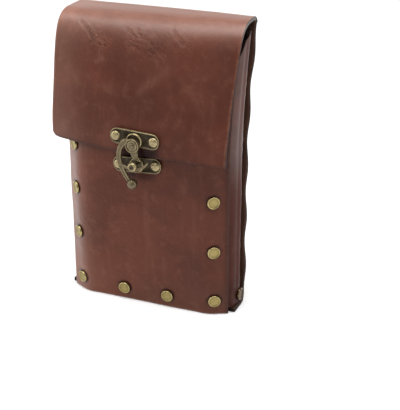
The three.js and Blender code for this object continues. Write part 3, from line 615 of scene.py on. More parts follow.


# %% [markdown]
# ## Wear pressed into the flap
# A fold in waxed leather leaves fine wrinkles that run slantwise from the bend. The deeper ones are pressed
# into the mesh as short grooves. How much fine wrinkling, rubbing with painted highlight, painted shade and
# polish a point has is stored on the points as a value from 0 to 1, because a value on the mesh can follow
# the pouch's own features.

# %% Creases of the flap
CREASES = [
    # from x, z to x, z in millimetres on the flap, then depth and width
    ((-42.0, 174.5), (-30.0, 165.5), 0.26, 0.9),
    ((-38.0, 171.5), (-24.0, 161.0), 0.34, 0.9),
    ((-32.0, 171.5), (-21.0, 163.5), 0.24, 0.8),
    ((-13.0, 173.5), (-3.0, 166.0), 0.24, 0.8),
    ((-6.0, 173.0), (8.0, 163.5), 0.3, 0.9),
    ((1.0, 169.0), (15.0, 160.5), 0.28, 0.8),
    ((-9.0, 167.0), (2.0, 159.5), 0.22, 0.8),
    ((3.0, 163.0), (12.0, 156.0), 0.18, 0.8),
    ((15.0, 174.0), (25.0, 166.0), 0.28, 0.9),
    ((20.0, 171.5), (29.0, 163.5), 0.24, 0.8),
]
SCUFFS = [
    # long soft strokes, paler than the rest, with their strength and width
    ((-1.0, 138.0), (17.0, 154.0), 0.13, 2.8),
    ((-29.0, 153.5), (-23.0, 157.0), 0.14, 1.6),
    ((-24.0, 142.0), (-12.0, 136.0), 0.08, 2.2),
    ((24.0, 150.0), (31.0, 141.0), 0.08, 1.8),
    ((30.0, 146.0), (38.0, 131.0), 0.08, 1.6),
    ((-47.0, 150.0), (-38.0, 139.0), 0.1, 2.4),
]


def along_line(x, z, start, end):
    """Distance from a line, and 1 on it, fading to 0 past its ends."""
    start, end, point = Vector(start), Vector(end), Vector((x, z))
    line = end - start
    share = (point - start).dot(line) / line.length_squared
    near = (point - start - line * min(max(share, 0), 1)).length
    return near, math.exp(-((max(0, abs(share - 0.5) - 0.42) / 0.12) ** 2))


def crease_depth(x, z):
    depth = 0
    for start, end, deep, wide in CREASES:
        bend = 1.2 * noise.noise(Vector((x * 0.12, z * 0.12, 3)))
        near, fade = along_line(x + bend, z + bend, start, end)
        depth -= deep * fade * math.exp(-((near / wide) ** 2))
        depth += 0.5 * deep * fade * math.exp(-(((near - 1.8 * wide) / wide) ** 2))
    return depth


def crackle_at(x, z):
    amount = 0.08
    for start, end, *_ in CREASES:
        near, fade = along_line(x, z, start, end)
        amount += 0.5 * fade * math.exp(-((near / 3.5) ** 2))
    return amount + 0.25 * math.exp(-(((z - 163) / 9) ** 2)) * math.exp(-(((x - 4) / 24) ** 2))


def paint(bm, label, value):
    layer = bm.verts.layers.float.new(label)
    for v in bm.verts:
        x, y, z = v.co * 1000
        v[layer] = min(max(value(x, y - FRONT_FACE, z), 0), 1)


def rivet_painted_shade(names):
    """Painted shade in the hollow round each cap."""

    def stain(x, y, z):
        away = min((Vector((x, y, z)) - rivets[name][0]).length for name in names)
        return 0.85 * math.exp(-((max(0, away - 4.2) / 0.75) ** 2))

    return stain


def ripple(x, y, z):
    """The slow unevenness that any hide has."""
    slow = noise.noise(Vector((x, y, z)) * 0.035)
    quick = noise.noise(Vector((x, y, z + 90)) * 0.11)
    return 0.42 * slow + 0.12 * quick


# Painted shadow: soft dark boxes on the leather where the clasp shades it.
CLASP_SHADOWS = [
    # middle x and z, half width and height in millimetres, strength
    (-7.0, 100.0, 4.8, 6.5, 1.0),
    (6.5, 103.5, 8.5, 5.0, 1.0),
    (-5.5, 89.5, 3.5, 4.0, 0.85),
    (4.0, 88.5, 6.5, 4.0, 0.55),
]


def clasp_shade(x, z):
    """Painted shadow round and under the clasp, darkest in its window and between its bars."""
    return max(
        strength * math.exp(-(((x - right) / wide) ** 4)) * math.exp(-(((z - up) / high) ** 4))
        for right, up, wide, high, strength in CLASP_SHADOWS
    )


# %% Make the back with its flap
FLAP_FROM = 95
FOLD_FRONT = 20
FOLD_BACK = 38
back_names = [name for name in rivets if name.startswith("back")]


def flap_relief(x, y, z):
    on_flap = z > FLAP_FROM and y < FOLD_FRONT
    relief = ripple(x, y, z) * (1 if on_flap else 0.4)
    if on_flap:
        relief += crease_depth(x, z)
    else:
        relief += rivet_pull(x, y, z, back_names)
    return relief


def flap_rub_and_light(x, y, z):
    """Rubbed wear with a painted highlight along the fold, a painted highlight down the flap's left side,
    and paler scuffs.
    """
    if y > FOLD_BACK or z < FLAP_FROM:
        return 0
    rub = 0.7 * math.exp(-(((z - 181) / 9) ** 2)) + 0.2 * math.exp(-(((x + 54) / 16) ** 2))
    for start, end, strength, wide in SCUFFS:
        near, fade = along_line(x, z, start, end)
        rub += strength * fade * math.exp(-((near / wide) ** 2))
    return rub


def flap_polish(x, y, z):
    """Handling has polished the fold most, and the flap's left side a little."""
    if y > FOLD_BACK or z < FLAP_FROM:
        return 0.1
    fold = 0.85 / (1 + math.exp((173 - z) / 1.8))
    side = 0.35 * math.exp(-(((x + 56) / 14) ** 2))
    return fold + side * (1 - fold)


def flap_painted_shade(x, y, z):
    """Painted shade: the flap's face darker than its fold and most of all to the right, a painted shadow
    along its lower edge and round the clasp, and painted shade round the caps behind.
    """
    if y > FOLD_FRONT or z < FLAP_FROM:
        return rivet_painted_shade(back_names)(x, y, z)
    away = 1 / (1 + math.exp((z - 168) / 3))
    share = 2 * x / BACK_WIDTH
    lift = (LEFT_LIFT * share * (share - 1) + RIGHT_LIFT * share * (share + 1)) / 2
    # Painted shade along the flap's lower edge.
    edge = 0.8 * math.exp(-(((z - HEIGHT + FLAP_DROP - lift) / 1.7) ** 2))
    return max((0.13 + 0.08 * math.tanh((x + 20) / 20)) * away, clasp_shade(x, z), edge)


sheet = bent_sheet(114, 348, sheet_place, (BACK_WIDTH, SHEET_LENGTH), flip=True, trim=cut_lip)
press(sheet, flap_relief)
paint(sheet, "crackle", lambda x, y, z: crackle_at(x, z) if y < 30 and z > FLAP_FROM else 0.15)
paint(sheet, "rub", flap_rub_and_light)
paint(sheet, "stain", flap_painted_shade)
paint(sheet, "polish", flap_polish)
finish_sheet(
    sheet, "back_fold_and_flap", LEATHER, [grain_side, cut_edge, flesh_side], "back_with_flap"
)

# %% [markdown]
# ## Front panel
# The front is a separate panel, riveted over the gussets. Its edges turn back a little where the rivets
# pull them, a faint upright step shows where each gusset's flange ends behind it, and a short dent lies
# left of the middle.

# %% Make the front panel
FRONT_TOP = HEIGHT - MOUTH_DROP
DENT = ((-21, 70), (-24, 48))
front_names = [name for name in rivets if name.startswith(("front", "base"))]


def front_place(u, w):
    x = (u - 0.5) * FRONT_WIDTH
    z = w * FRONT_TOP
    return at(x, front_depth(x, z), z)


def front_relief(x, y, z):
    relief = 0.6 * ripple(x, y, z) + rivet_pull(x, y, z, front_names)
    near, fade = along_line(x, z, *DENT)
    relief -= 0.25 * fade * math.exp(-((near / 1.6) ** 2))
    flange_step = FRONT_WIDTH / 2 - FLANGE
    relief += 0.16 * math.tanh((abs(x) - flange_step) / 2.5)
    return relief


def front_painted_shade(x, y, z):
    """Painted shade round the caps, a painted shadow under the flap's edge and round the clasp, and painted
    shade growing to the right and along the right edge.
    """
    # Painted shadow under the flap's edge, and painted shade to the right.
    under_flap = 0.5 / (1 + math.exp((101.5 - z) / 1.3))
    right = 0.08 + 0.09 * math.tanh((x - 5) / 25) + 0.6 * math.exp(-(((x - FRONT_WIDTH / 2) / 2) ** 2))
    return max(rivet_painted_shade(front_names)(x, y, z), under_flap, right, clasp_shade(x, z))


def front_rub_and_light(x, y, z):
    """A painted highlight down the left side, and paler wear along the foot."""
    return 0.34 * math.exp(-(((x + 50) / 13) ** 2)) + 0.12 * math.exp(-((z / 20) ** 2))


front = bent_sheet(80, 118, front_place, (FRONT_WIDTH, FRONT_TOP))
press(front, front_relief)
paint(front, "crackle", lambda x, y, z: 0.1 + 0.25 * max(0, noise.noise(Vector((x, y, z)) * 0.05)))
paint(front, "rub", front_rub_and_light)
paint(front, "stain", front_painted_shade)
paint(front, "polish", lambda x, y, z: 0.6 / (1 + math.exp((x + 42) / 3)))
finish_sheet(front, "front_leather", LEATHER, [grain_side, cut_edge, flesh_side], "front_panel")

# %% [markdown]
# ## Gussets
# A gusset is a strip folded twice: a flange behind the front panel, the side itself, and a flange before
# the back. The side stands fuller than its folds and puckers between the rivets. Its plan is drawn at each
# height, which lets it follow the lean of both panels.

# %% Plan of a gusset
WEB_SIDE = GUSSET_WIDTH / 2 - GUSSET_BULGE
FLANGE_END = FRONT_WIDTH / 2 - FLANGE
GUSSET_TOP = HEIGHT - GUSSET_DROP


def behind_front(x, z):
    """A point of the layer behind the front panel, in plan, square to the panel's outer face at x."""
    sideways, upwards, stretch = slant(front_depth, x, z)
    inwards = (LEATHER + GAP) / stretch
    return Vector((x - inwards * sideways, front_depth(x, z) + inwards * (1 + upwards**2)))


def before_back(x, z):
    return back_depth(x, z) - (LEATHER + GAP) * slant(back_depth, x, z)[2]


def soft_bend(start, corner, end, count=8):
    return [start.lerp(corner, t).lerp(corner.lerp(end, t), t) for t in spread(0, 1, count)]


def gusset_plan(z):
    front_flange = [behind_front(x, z) for x in spread(FLANGE_END, FRONT_WIDTH / 2, 12)]
    rise = (WEB_SIDE - front_flange[-1].x) * slant(front_depth, FRONT_WIDTH / 2 - 1, z)[0]
    corner = Vector((WEB_SIDE, front_flange[-1].y + rise))
    web_start = corner + Vector((0, GUSSET_FOLD))
    back_flange = [Vector((x, before_back(x, z))) for x in spread(WEB_SIDE - GUSSET_FOLD, FLANGE_END, 10)]
    back_corner = Vector((WEB_SIDE, back_flange[0].y))
    web_end = back_corner - Vector((0, GUSSET_FOLD))
    web = [
        web_start.lerp(web_end, t) + Vector((GUSSET_BULGE * math.sin(math.pi * t), 0))
        for t in spread(0, 1, 16)
    ]
    first = soft_bend(front_flange[-1], corner, web_start)
    last = soft_bend(web_end, back_corner, back_flange[0])
    return front_flange + first[1:] + web[1:-1] + last + back_flange[1:]


def plan_at(plan, share):
    """A point a share of the way along a plan, by length."""
    steps = [(b - a).length for a, b in zip(plan, plan[1:])]
    left = share * sum(steps)
    for start, end, step in zip(plan, plan[1:], steps):
        if left <= step:
            return start.lerp(end, left / step)
        left -= step
    return plan[-1]


# %% Foot and top of a gusset


def gusset_foot(y):
    room = BASE_BACK_BEND - LEATHER - GAP
    into = min(max(y - (BODY_DEPTH - BASE_BACK_BEND), 0), room)
    return BASE_BACK_BEND - math.sqrt(room**2 - into**2)


def gusset_top(y):
    start = behind_front(FRONT_WIDTH / 2, 0).y
    share = min(max((y - start) / (before_back(0, 0) - start), 0), 1)
    return FRONT_TOP + (GUSSET_TOP - FRONT_TOP) * (1 - (1 - share) ** 3)


base_plan = gusset_plan(0)
plan_cache = {}


def gusset_point(u, w):
    y = plan_at(base_plan, u).y
    z = gusset_foot(y) + (gusset_top(y) - gusset_foot(y)) * w
    key = round(z * 2)
    if key not in plan_cache:
        plan_cache[key] = gusset_plan(key / 2)
    point = plan_at(plan_cache[key], u)
    return point.x, point.y, z


def gusset_relief(x, y, z):
    names = front_names + back_names + ["corner_rivet_left", "corner_rivet_right"]
    relief = rivet_pull(x, y, z, names)
    if abs(x) > WEB_SIDE - 1:
        relief += 0.3 * ripple(x, y, z)
        for height in BACK_HEIGHTS[1:]:
            between = math.exp(-(((z - height) / 7) ** 2))
            relief += 0.14 * between * math.sin((z + 0.5 * y) * 0.9)
    return relief


def gusset_painted_shade(x, y, z):
    """Painted shade over the lower half, and round the corner rivets."""
    lower = 0.34 / (1 + math.exp((z - 94) / 7))
    return max(lower, rivet_painted_shade(["corner_rivet_left", "corner_rivet_right"])(x, y, z))


# %% Make both gussets
GUSSET_FLAT = 60


def gusset_maker(sign):
    def gusset_place(u, w):
        x, y, z = gusset_point(u, w)
        return at(sign * x, y, z)

    return gusset_place


for side, sign in SIDES:
    gusset = bent_sheet(62, 120, gusset_maker(sign), (GUSSET_FLAT, GUSSET_TOP), flip=sign < 0)
    press(gusset, gusset_relief)
    paint(gusset, "stain", gusset_painted_shade)
    paint(gusset, "polish", lambda x, y, z: 0.8 / (1 + math.exp((92 - z) / 6)))
    looks = [gusset_side, cut_edge, flesh_side]
    finish_sheet(gusset, f"gusset_leather_{side}", GUSSET_LEATHER, looks, f"gusset_{side}")

# %% [markdown]
# ## Belt loop
# The back isn't seen in the picture, so the loop is one plain strap, riveted at both ends, with room for a
# belt behind its flat middle.

# %% Make the belt loop
LOOP_WIDTH = 60
LOOP_LENGTH = LOOP_TOP - LOOP_BOTTOM
LOOP_DEPTH = 5.5
loop_names = [name for name in rivets if name.startswith("loop")]
raised = back_depth(0, LOOP_TOP) + LOOP_DEPTH + LEATHER


def loop_seat(z):
    return back_depth(0, z) + (GAP + LEATHER) * slant(back_depth, 0, z)[2]


def loop_depth(z):
    low, high = LOOP_BOTTOM + LOOP_END, LOOP_TOP - LOOP_END
    into = min(z - low, high - z)
    share = min(max(into / (LOOP_SLOPE * 1.2), 0), 1)
    share = share * share * (3 - 2 * share)
    return loop_seat(z) * (1 - share) + raised * share


def loop_place(u, w):
    z = LOOP_BOTTOM + w * LOOP_LENGTH
    return at((u - 0.5) * LOOP_WIDTH, loop_depth(z), z)


loop = bent_sheet(42, 62, loop_place, (LOOP_WIDTH, LOOP_LENGTH), flip=True)
press(loop, lambda x, y, z: rivet_pull(x, y, z, loop_names, 5, 0.3))
paint(loop, "crackle", lambda x, y, z: 0.25)
paint(loop, "stain", rivet_painted_shade(loop_names))
finish_sheet(loop, "belt_loop_leather", LEATHER, [grain_side, cut_edge, flesh_side], "belt_loop")

# %% [markdown]
# ## Metal finishes
# The caps and the clasp are antiqued: dark in the hollows, rubbed bright on rims and ridges. Each metal
# mesh carries a value for how sharply it stands out at a point, and one node group turns that value, with
# some tarnish clouds, into a colour and a roughness.

# %% Metal group and materials
metal_tree, wires, given, result = new_group(
    "antique_metal",
    [
        ("Vector", "NodeSocketVector", None),
        ("Bright", "NodeSocketColor", tint(200, 180, 130)),
        ("Body", "NodeSocketColor", tint(150, 134, 96)),
        ("Dark", "NodeSocketColor", tint(60, 48, 34)),
        ("Worn", "NodeSocketFloat", 0.5),
    ],
    [("Color", "NodeSocketColor"), ("Roughness", "NodeSocketFloat"), ("Height", "NodeSocketFloat")],
)
place = given["Vector"]
tarnish = wires.noise(place, 420, 5, 0.65)
specks = wires.noise(place, 1900, 3, 0.6)
worn = wires.math("ADD", given["Worn"], wires.math("MULTIPLY", wires.math("SUBTRACT", tarnish, 0.5), 0.32))
metal = wires.mix(wires.ramp(worn, 0.12, 0.46), given["Dark"], given["Body"])
metal = wires.mix(wires.ramp(worn, 0.55, 0.85), metal, given["Bright"])
metal = wires.mix(wires.math("MULTIPLY", wires.ramp(specks, 0.56, 0.7), 0.14), metal, given["Dark"])
gloss = wires.ramp(worn, 0.2, 0.7, 0.5, 0.2)
height = wires.math("ADD", wires.math("MULTIPLY", specks, 0.4), wires.math("MULTIPLY", tarnish, 0.6))
wires.tree.links.new(metal, result.inputs["Color"])
wires.tree.links.new(gloss, result.inputs["Roughness"])
wires.tree.links.new(height, result.inputs["Height"])


def antique(name, bright, body, dark, metallic=1.0, bump=0.25):
    material, wires, shader = new_material(name)
    place = wires.add("ShaderNodeTexCoord").outputs["Object"]
    worn = wires.add("ShaderNodeAttribute", {"attribute_name": "worn"}).outputs["Fac"]
    group = wires.add(
        "ShaderNodeGroup", {"node_tree": metal_tree},
        Vector=place, Bright=bright, Body=body, Dark=dark, Worn=worn,
    )
    relief = wires.add("ShaderNodeBump", Height=group.outputs["Height"], Strength=bump, Distance=0.0002)
    wires.tree.links.new(group.outputs["Color"], shader.inputs["Base Color"])
    wires.tree.links.new(group.outputs["Roughness"], shader.inputs["Roughness"])
    wires.tree.links.new(relief.outputs[0], shader.inputs["Normal"])
    shader.inputs["Metallic"].default_value = metallic
    return material


brass = antique("antique_brass", tint(176, 160, 120), tint(148, 133, 86), tint(62, 44, 22))
# A darker copy of the brass, as painted shade, for the corner rivets low on the sides.
shaded_brass = antique("shaded_brass", tint(138, 118, 90), tint(84, 66, 44), tint(40, 28, 18), 0.8)
bronze = antique("antique_bronze", tint(156, 141, 104), tint(98, 86, 64), tint(38, 30, 22), 0.7)
print("metals", brass.name, shaded_brass.name, bronze.name)

# %% Metal piece maker


def mark_wear(bm, lift=0.5, gain=0.55, rounds=2):
    """Stores how far each point stands out: over a half on ridges, under a half in hollows."""
    layer = bm.verts.layers.float.new("worn")
    bm.normal_update()
    for v in bm.verts:
        turns = [e.calc_face_angle_signed(0) for e in v.link_edges]
        v[layer] = lift + gain * sum(turns) / max(len(turns), 1) * 2
    for _ in range(rounds):
        smooth = {
            v: (v[layer] + sum(e.other_vert(v)[layer] for e in v.link_edges)) / (1 + len(v.link_edges))
            for v in bm.verts
        }
        for v, value in smooth.items():
            v[layer] = value
    for v in bm.verts:
        v[layer] = min(max(v[layer], 0), 1)


def finish_metal(bm, name, material, node, body="pouch"):
    mesh = bpy.data.meshes.new(name)
    bm.to_mesh(mesh)
    bm.free()
    for polygon in mesh.polygons:
        polygon.use_smooth = True
    mesh.materials.append(material)
    piece = bpy.data.objects.new(name, mesh)
    bpy.context.scene.collection.objects.link(piece)
    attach(piece, body)
    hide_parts(node)


def turned(profile, steps):
    """A round piece about +Z from pairs of radius and height in millimetres."""
    bm = bmesh.new()
    verts = [bm.verts.new((radius / 1000, 0, height / 1000)) for radius, height in profile]
    edges = [bm.edges.new(pair) for pair in zip(verts, verts[1:])]
    bmesh.ops.spin(
        bm, geom=verts + edges, cent=(0, 0, 0), axis=(0, 0, 1),
        angle=2 * math.pi, steps=steps, use_merge=True,
    )
    bmesh.ops.remove_doubles(bm, verts=bm.verts[:], dist=1e-6)
    bmesh.ops.recalc_face_normals(bm, faces=bm.faces[:])
    return bm


# %% [markdown]
# ## Rivets
# Each rivet is a cap with a raised rim round a shallow dish, turned about its own axis. Spin is the
# operator for that. Every cap then gets small dents of its own from noise at its place.

# %% Make the rivets
CAP = [
    (0, 0.82),
    (1.0, 0.84),
    (2.0, 0.9),
    (2.7, 0.98),
    (3.05, 1.06),
    (3.25, 1.24),
    (3.45, 1.34),
    (3.64, 1.3),
    (3.84, 1.06),
    (3.97, 0.7),
    (4.0, 0.4),
    (3.96, 0.1),
    (3.7, -0.1),
]
STEM = 1.5
TAIL = 3.0
STACK = LEATHER + GAP + GUSSET_LEATHER + 0.7
SHANK = [
    (STEM, -0.1),
    (STEM, -STACK),
    (TAIL, -STACK),
    (TAIL * 0.9, -STACK - 0.8),
    (0, -STACK - 0.9),
]
for name, (point, outwards) in rivets.items():
    rivet = turned(CAP + SHANK, 36)
    mark_wear(rivet, 0.44, 0.42)
    turn = Vector((0, 0, 1)).rotation_difference(outwards).to_matrix().to_4x4()
    bmesh.ops.transform(rivet, matrix=Matrix.Translation(at(*point)) @ turn, verts=rivet.verts[:])
    for v in rivet.verts:
        v.co += outwards * noise.noise(v.co * 300) * 0.05 / 1000
    finish_metal(rivet, f"{name}_cap", shaded_brass if name.startswith("corner") else brass, name)
print("rivets made", len(rivets))

# %% [markdown]
# ## The swing clasp
# The clasp is cast: two bars with rounded ends, a hook that turns on a pivot, and a headed post that the
# hook catches. The bars are flat outlines that are extruded, and an inset with a drop leaves a raised rim
# round a darker field. Points of the clasp are given to the right of and above the pivot, and out from the
# leather.

# %% Clasp sizes
CLASP_X = -1
PIVOT_Z = HEIGHT - FLAP_DROP + 7.2
REACH = 11.9
CATCH_X = 0.2
CATCH_Z = PIVOT_Z - REACH
PLATE = (31, 9.6, 4.4)
PLATE_THICKNESS = 1.4
UPPER_MIDDLE = Vector((0, 3.4))
LOWER_MIDDLE = Vector((-1.6, -2.3))
STUD_PITCH = 24
UPPER_TURN = math.radians(3)
LOWER_TURN = math.radians(-4)
BOSS = 2.4
HOOK_THICKNESS = 2.2
UPPER_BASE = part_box("clasp_upper_plate")[1].y * 1000 - FRONT_FACE
LOWER_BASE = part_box("clasp_lower_plate")[1].y * 1000 - FRONT_FACE
HOOK_BASE = UPPER_BASE - BOSS - GAP
print("upper plate at", round(UPPER_BASE, 2), "lower at", round(LOWER_BASE, 2))

# %% Clasp helpers


def clasp_frame(x, base, z, turn=0):
    """From clasp millimetres (right, up, out) to the frame, about a point at x and z."""
    axes = Matrix(((1, 0, 0), (0, 0, -1), (0, 1, 0))).to_4x4()
    return Matrix.Translation(at(x, base, z)) @ Matrix.Rotation(turn, 4, "Y") @ axes @ Matrix.Scale(0.001, 4)


def round_bar(length, height, corner, count=7):
    points = []
    for start, (sx, sy) in zip((0, 90, 180, 270), ((1, 1), (-1, 1), (-1, -1), (1, -1))):
        centre = Vector((sx * (length / 2 - corner), sy * (height / 2 - corner)))
        for angle in spread(start, start + 90, count):
            a = math.radians(angle)
            points.append(centre + corner * Vector((math.cos(a), math.sin(a))))
    return points


def slab(bm, outline, thickness, rim=0.6, drop=0.45):
    """An outline extruded out of the plane, its front field sunk inside a raised rim."""
    base = bm.faces.new([bm.verts.new((p.x, p.y, 0)) for p in outline])
    grown = bmesh.ops.extrude_face_region(bm, geom=[base])
    top = [v for v in grown["geom"] if isinstance(v, bmesh.types.BMVert)]
    bmesh.ops.translate(bm, verts=top, vec=(0, 0, thickness))
    field = next(f for f in grown["geom"] if isinstance(f, bmesh.types.BMFace))
    sharp = list(field.edges)
    bmesh.ops.inset_region(bm, faces=[field], thickness=rim, depth=0)
    bmesh.ops.inset_region(bm, faces=[field], thickness=0.3, depth=0)
    bmesh.ops.translate(bm, verts=list(field.verts), vec=(0, 0, -drop))
    bmesh.ops.bevel(
        bm, geom=sharp, offset=0.26, segments=3, profile=0.5,
        affect="EDGES", material=-1, clamp_overlap=True,
    )


def add_turned(bm, profile, right=0, up=0, steps=32):
    """A turned form set on the clasp plane, its heights counted outwards."""
    part = turned(profile, steps)
    place = Matrix.Translation((right, up, 0)) @ Matrix.Scale(1000, 4)
    bmesh.ops.transform(part, matrix=place, verts=part.verts[:])
    mesh = bpy.data.meshes.new("part")
    part.to_mesh(mesh)
    part.free()
    bm.from_mesh(mesh)
    bpy.data.meshes.remove(mesh)


def finish_clasp(bm, matrix, name, node, body="pouch", lift=0.44):
    bmesh.ops.recalc_face_normals(bm, faces=bm.faces[:])
    bmesh.ops.transform(bm, matrix=matrix, verts=bm.verts[:])
    bmesh.ops.recalc_face_normals(bm, faces=bm.faces[:])
    mark_wear(bm, lift, rounds=3)
    finish_metal(bm, name, bronze, node, body)


# %% Upper bar
RING = [
    (0, 1.75),
    (3.0, 1.75),
    (3.6, 1.8),
    (4.0, 2.15),
    (4.35, 2.4),
    (4.7, 2.3),
    (5.0, 1.8),
    (5.0, 0),
    (0, 0),
]
upper = bmesh.new()
slab(upper, [p + UPPER_MIDDLE for p in round_bar(*PLATE)], PLATE_THICKNESS)
add_turned(upper, RING, 0, 2)
upper_frame = clasp_frame(CLASP_X, UPPER_BASE, PIVOT_Z, UPPER_TURN)
finish_clasp(upper, upper_frame, "upper_bar", "clasp_upper_plate")

# %% Lower bar with its headed post
lower = bmesh.new()
slab(lower, [p + LOWER_MIDDLE for p in round_bar(*PLATE)], PLATE_THICKNESS)
add_turned(lower, [(radius * 0.92, height) for radius, height in RING], *LOWER_MIDDLE)
reach = LOWER_BASE - HOOK_BASE + HOOK_THICKNESS + GAP
HEAD = [
    (0, reach + 2.5),
    (0.7, reach + 2.55),
    (1.15, reach + 2.75),
    (1.45, reach + 3.1),
    (1.75, reach + 3.3),
    (2.15, reach + 3.25),
    (2.6, reach + 2.7),
    (2.85, reach + 1.9),
    (2.8, reach + 1.1),
    (2.45, reach + 0.4),
    (1.9, reach + 0.05),
    (1.1, reach),
    (1.1, 0.6),
    (0, 0.6),
]
add_turned(lower, HEAD)
lower_frame = clasp_frame(CATCH_X, LOWER_BASE, CATCH_Z, LOWER_TURN)
finish_clasp(lower, lower_frame, "lower_bar_and_post", "clasp_lower_plate")
print("post stands out", round(reach + 3.3, 1), "mm")

# %% [markdown]
# ## The hook
# The hook's arms change width as they curve and have a ridge along each edge. Rings of points are set
# along a smooth line and bridged, which is how a modeller sweeps a section that changes. The arms, the eye
# and the ball are then fused by a fine voxel remesh, so they read as one casting.

# %% Sweep an arm
LEFT_ARM = [
    (-0.2, 0.22, 0.3),
    (-0.4, 0.16, 0.32),
    (-0.6, -0.08, 0.28),
    (-0.7, -0.36, 0.26),
    (-0.73, -0.65, 0.26),
    (-0.69, -0.95, 0.28),
    (-0.58, -1.25, 0.27),
    (-0.45, -1.52, 0.23),
    (-0.29, -1.76, 0.2),
    (-0.14, -1.92, 0.17),
]
RIGHT_ARM = [
    (0.03, -0.15, 0.42),
    (0.1, -0.37, 0.4),
    (0.16, -0.56, 0.34),
    (0.33, -0.68, 0.17),
    (0.44, -0.73, 0.06),
]
JAW_ANGLES = (-34, 46)


def soft_power(value, power):
    return math.copysign(abs(value) ** power, value)


def ring_edges(ring):
    return list({e for v in ring for e in v.link_edges if e.other_vert(v) in ring})


def swept_arm(bm, stations, thickness, groove=0.5, sides=20):
    """A limb through (right, up, width) stations in millimetres, grooved along its front."""
    line = spline([Vector(s) for s in stations], len(stations) * 5)
    rings = []
    for i, here in enumerate(line):
        ahead = line[min(i + 1, len(line) - 1)] - line[max(i - 1, 0)]
        across = Vector((-ahead.y, ahead.x, 0)).normalized()
        ring = bmesh.ops.create_circle(bm, segments=sides, radius=1)["verts"]
        for v in ring:
            side = soft_power(v.co.x, 0.65)
            out = 0.5 + 0.5 * soft_power(v.co.y, 0.65)
            sunk = groove * math.exp(-((side / 0.45) ** 2)) if v.co.y > 0 else 0
            v.co = Vector((here.x, here.y, thickness * out - sunk)) + across * side * here.z / 2
        rings.append(ring)
    for before, after in zip(rings, rings[1:]):
        bmesh.ops.bridge_loops(bm, edges=ring_edges(before) + ring_edges(after))
    for ring in (rings[0], rings[-1]):
        bmesh.ops.edgeloop_fill(bm, edges=ring_edges(ring))


def scaled(stations, by=REACH):
    return [tuple(value * by for value in station) for station in stations]


# %% Make the hook
POST_RADIUS = 1.1
BALL_RADIUS = 3.2
VOXEL = 0.17
hook = bmesh.new()
swept_arm(hook, scaled(LEFT_ARM), HOOK_THICKNESS)
swept_arm(hook, scaled(RIGHT_ARM), HOOK_THICKNESS, 0.35)
jaw_radius = math.hypot(REACH, CATCH_X - CLASP_X) + POST_RADIUS + GAP
jaw = []
for i, angle in enumerate(spread(*JAW_ANGLES, 8)):
    a = math.radians(angle)
    wide = 2.0 - 1.5 * max(0, (i / 8 - 0.6) / 0.4) ** 2
    jaw.append(((jaw_radius + wide / 2) * math.sin(a), -(jaw_radius + wide / 2) * math.cos(a), wide))
swept_arm(hook, jaw, HOOK_THICKNESS, 0.2)
EYE = [
    (1.8, 1.6),
    (2.5, 1.65),
    (2.75, 1.95),
    (3.0, 1.95),
    (3.2, 1.6),
    (3.45, 1.6),
    (3.75, 2.15),
    (4.1, 2.35),
    (4.4, 2.0),
    (4.45, 0.1),
    (1.8, 0),
    (1.8, 1.6),
]
add_turned(hook, EYE, steps=48)
ball_at = (-0.05 * REACH, -2.02 * REACH, HOOK_THICKNESS / 2)
ball = bmesh.ops.create_uvsphere(hook, u_segments=32, v_segments=20, radius=BALL_RADIUS)
bmesh.ops.translate(hook, verts=ball["verts"], vec=ball_at)
bmesh.ops.recalc_face_normals(hook, faces=hook.faces[:])
rough_mesh = bpy.data.meshes.new("hook_rough")
hook.to_mesh(rough_mesh)
hook.free()
rough = bpy.data.objects.new("hook_rough", rough_mesh)
bpy.context.scene.collection.objects.link(rough)
remesh = rough.modifiers.new("fuse", "REMESH")
remesh.mode = "VOXEL"
remesh.voxel_size = VOXEL
fused = bmesh.new()
fused.from_object(rough, bpy.context.evaluated_depsgraph_get())
bpy.data.objects.remove(rough)
for _ in range(2):
    bmesh.ops.smooth_vert(
        fused, verts=fused.verts[:], factor=0.5, use_axis_x=True, use_axis_y=True, use_axis_z=True
    )
print("hook has", len(fused.faces), "faces")
hook_frame = clasp_frame(CLASP_X, HOOK_BASE, PIVOT_Z)
finish_clasp(fused, hook_frame, "swing_hook", "clasp_hook", "hook", 0.5)

# %% Pivot and studs
PIVOT = [
    (0, 3.75),
    (0.7, 3.7),
    (1.25, 3.5),
    (1.5, 3.1),
    (1.75, 3.05),
    (2.3, 3.0),
    (2.85, 2.85),
    (3.1, 2.5),
    (1.5, 2.35),
    (1.5, -3.2),
    (2.4, -3.2),
    (0, -3.8),
]
pivot = bmesh.new()
add_turned(pivot, [(r, h + BOSS - 0.75) if h > 0 else (r, h) for r, h in PIVOT])
finish_clasp(pivot, clasp_frame(CLASP_X, UPPER_BASE, PIVOT_Z), "pivot_pin", "clasp_pivot")

STUD = [
    (0, 2.75),
    (1.1, 2.7),
    (1.9, 2.5),
    (2.5, 2.15),
    (2.85, 1.75),
    (3.0, 1.35),
    (2.95, 1.0),
    (1.0, 0.95),
    (1.0, -2.7),
    (1.7, -2.7),
    (0, -3.4),
]
for level, matrix, middle in (("upper", upper_frame, UPPER_MIDDLE), ("lower", lower_frame, LOWER_MIDDLE)):
    for side, sign in SIDES:
        stud = bmesh.new()
        add_turned(stud, STUD, middle.x + sign * STUD_PITCH / 2, middle.y)
        finish_clasp(stud, matrix, f"{level}_{side}_stud_dome", f"{level}_stud_{side}", lift=0.6)
print("clasp is complete")

# %% [markdown]
# ## Floor, backdrop and light
# A pale floor that runs up into a wall behind gives a soft, even ground. A wide light overhead makes the
# sheen along the fold, two tall lights make the soft reflections on the sides, and a weak light from the
# front keeps the leather from going dull.

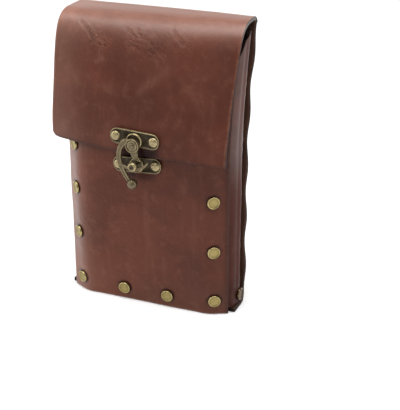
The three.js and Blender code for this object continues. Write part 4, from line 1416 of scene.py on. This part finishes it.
# %% Stage
BEND_START = 1.2
BEND_RADIUS = 0.8

ground, wires, shader = new_material("studio_white")
shader.inputs["Base Color"].default_value = (0.93, 0.93, 0.93, 1)
shader.inputs["Emission Color"].default_value = (1, 1, 1, 1)
shader.inputs["Emission Strength"].default_value = 0.16
shader.inputs["Roughness"].default_value = 0.9
shader.inputs["Specular IOR Level"].default_value = 0.1
sweep = bmesh.new()
bmesh.ops.create_grid(sweep, x_segments=1, y_segments=40, size=3)
for v in sweep.verts:
    beyond = v.co.y - BEND_START
    if beyond > 0:
        a = min(beyond / BEND_RADIUS, math.pi / 2)
        v.co.y = BEND_START + BEND_RADIUS * math.sin(a)
        v.co.z = BEND_RADIUS * (1 - math.cos(a)) + max(0, beyond - BEND_RADIUS * math.pi / 2)
stage_mesh = bpy.data.meshes.new("backdrop")
sweep.to_mesh(stage_mesh)
sweep.free()
stage_mesh.materials.append(ground)
backdrop = bpy.data.objects.new("backdrop", stage_mesh)
bpy.context.scene.collection.objects.link(backdrop)
backdrop.location.z = -0.0004

AIM = Vector((0, 0, 0.1))


def soft_light(name, place, size, watts):
    data = bpy.data.lights.new(name, "AREA")
    data.shape = "RECTANGLE"
    data.size, data.size_y = size
    data.energy = watts
    light = bpy.data.objects.new(name, data)
    bpy.context.scene.collection.objects.link(light)
    light.location = place
    light.rotation_euler = (AIM - Vector(place)).to_track_quat("-Z", "Y").to_euler()


soft_light("overhead", (0.05, -0.12, 1.3), (1.2, 0.9), 16)
soft_light("left_panel", (-1.2, -0.5, 0.7), (0.7, 1.2), 7.5)
soft_light("right_panel", (1.3, -0.1, 0.6), (0.6, 1.2), 4.5)
soft_light("front_fill", (-0.5, -1.5, 0.9), (1.0, 0.8), 4)

world = bpy.data.worlds.new("studio")
bpy.context.scene.world = world
world.use_nodes = True
sky = world.node_tree.nodes["Background"]
sky.inputs["Color"].default_value = (1, 1, 1, 1)
sky.inputs["Strength"].default_value = 0.38
bpy.context.scene.view_settings.view_transform = "Standard"
print("stage and lights are set")
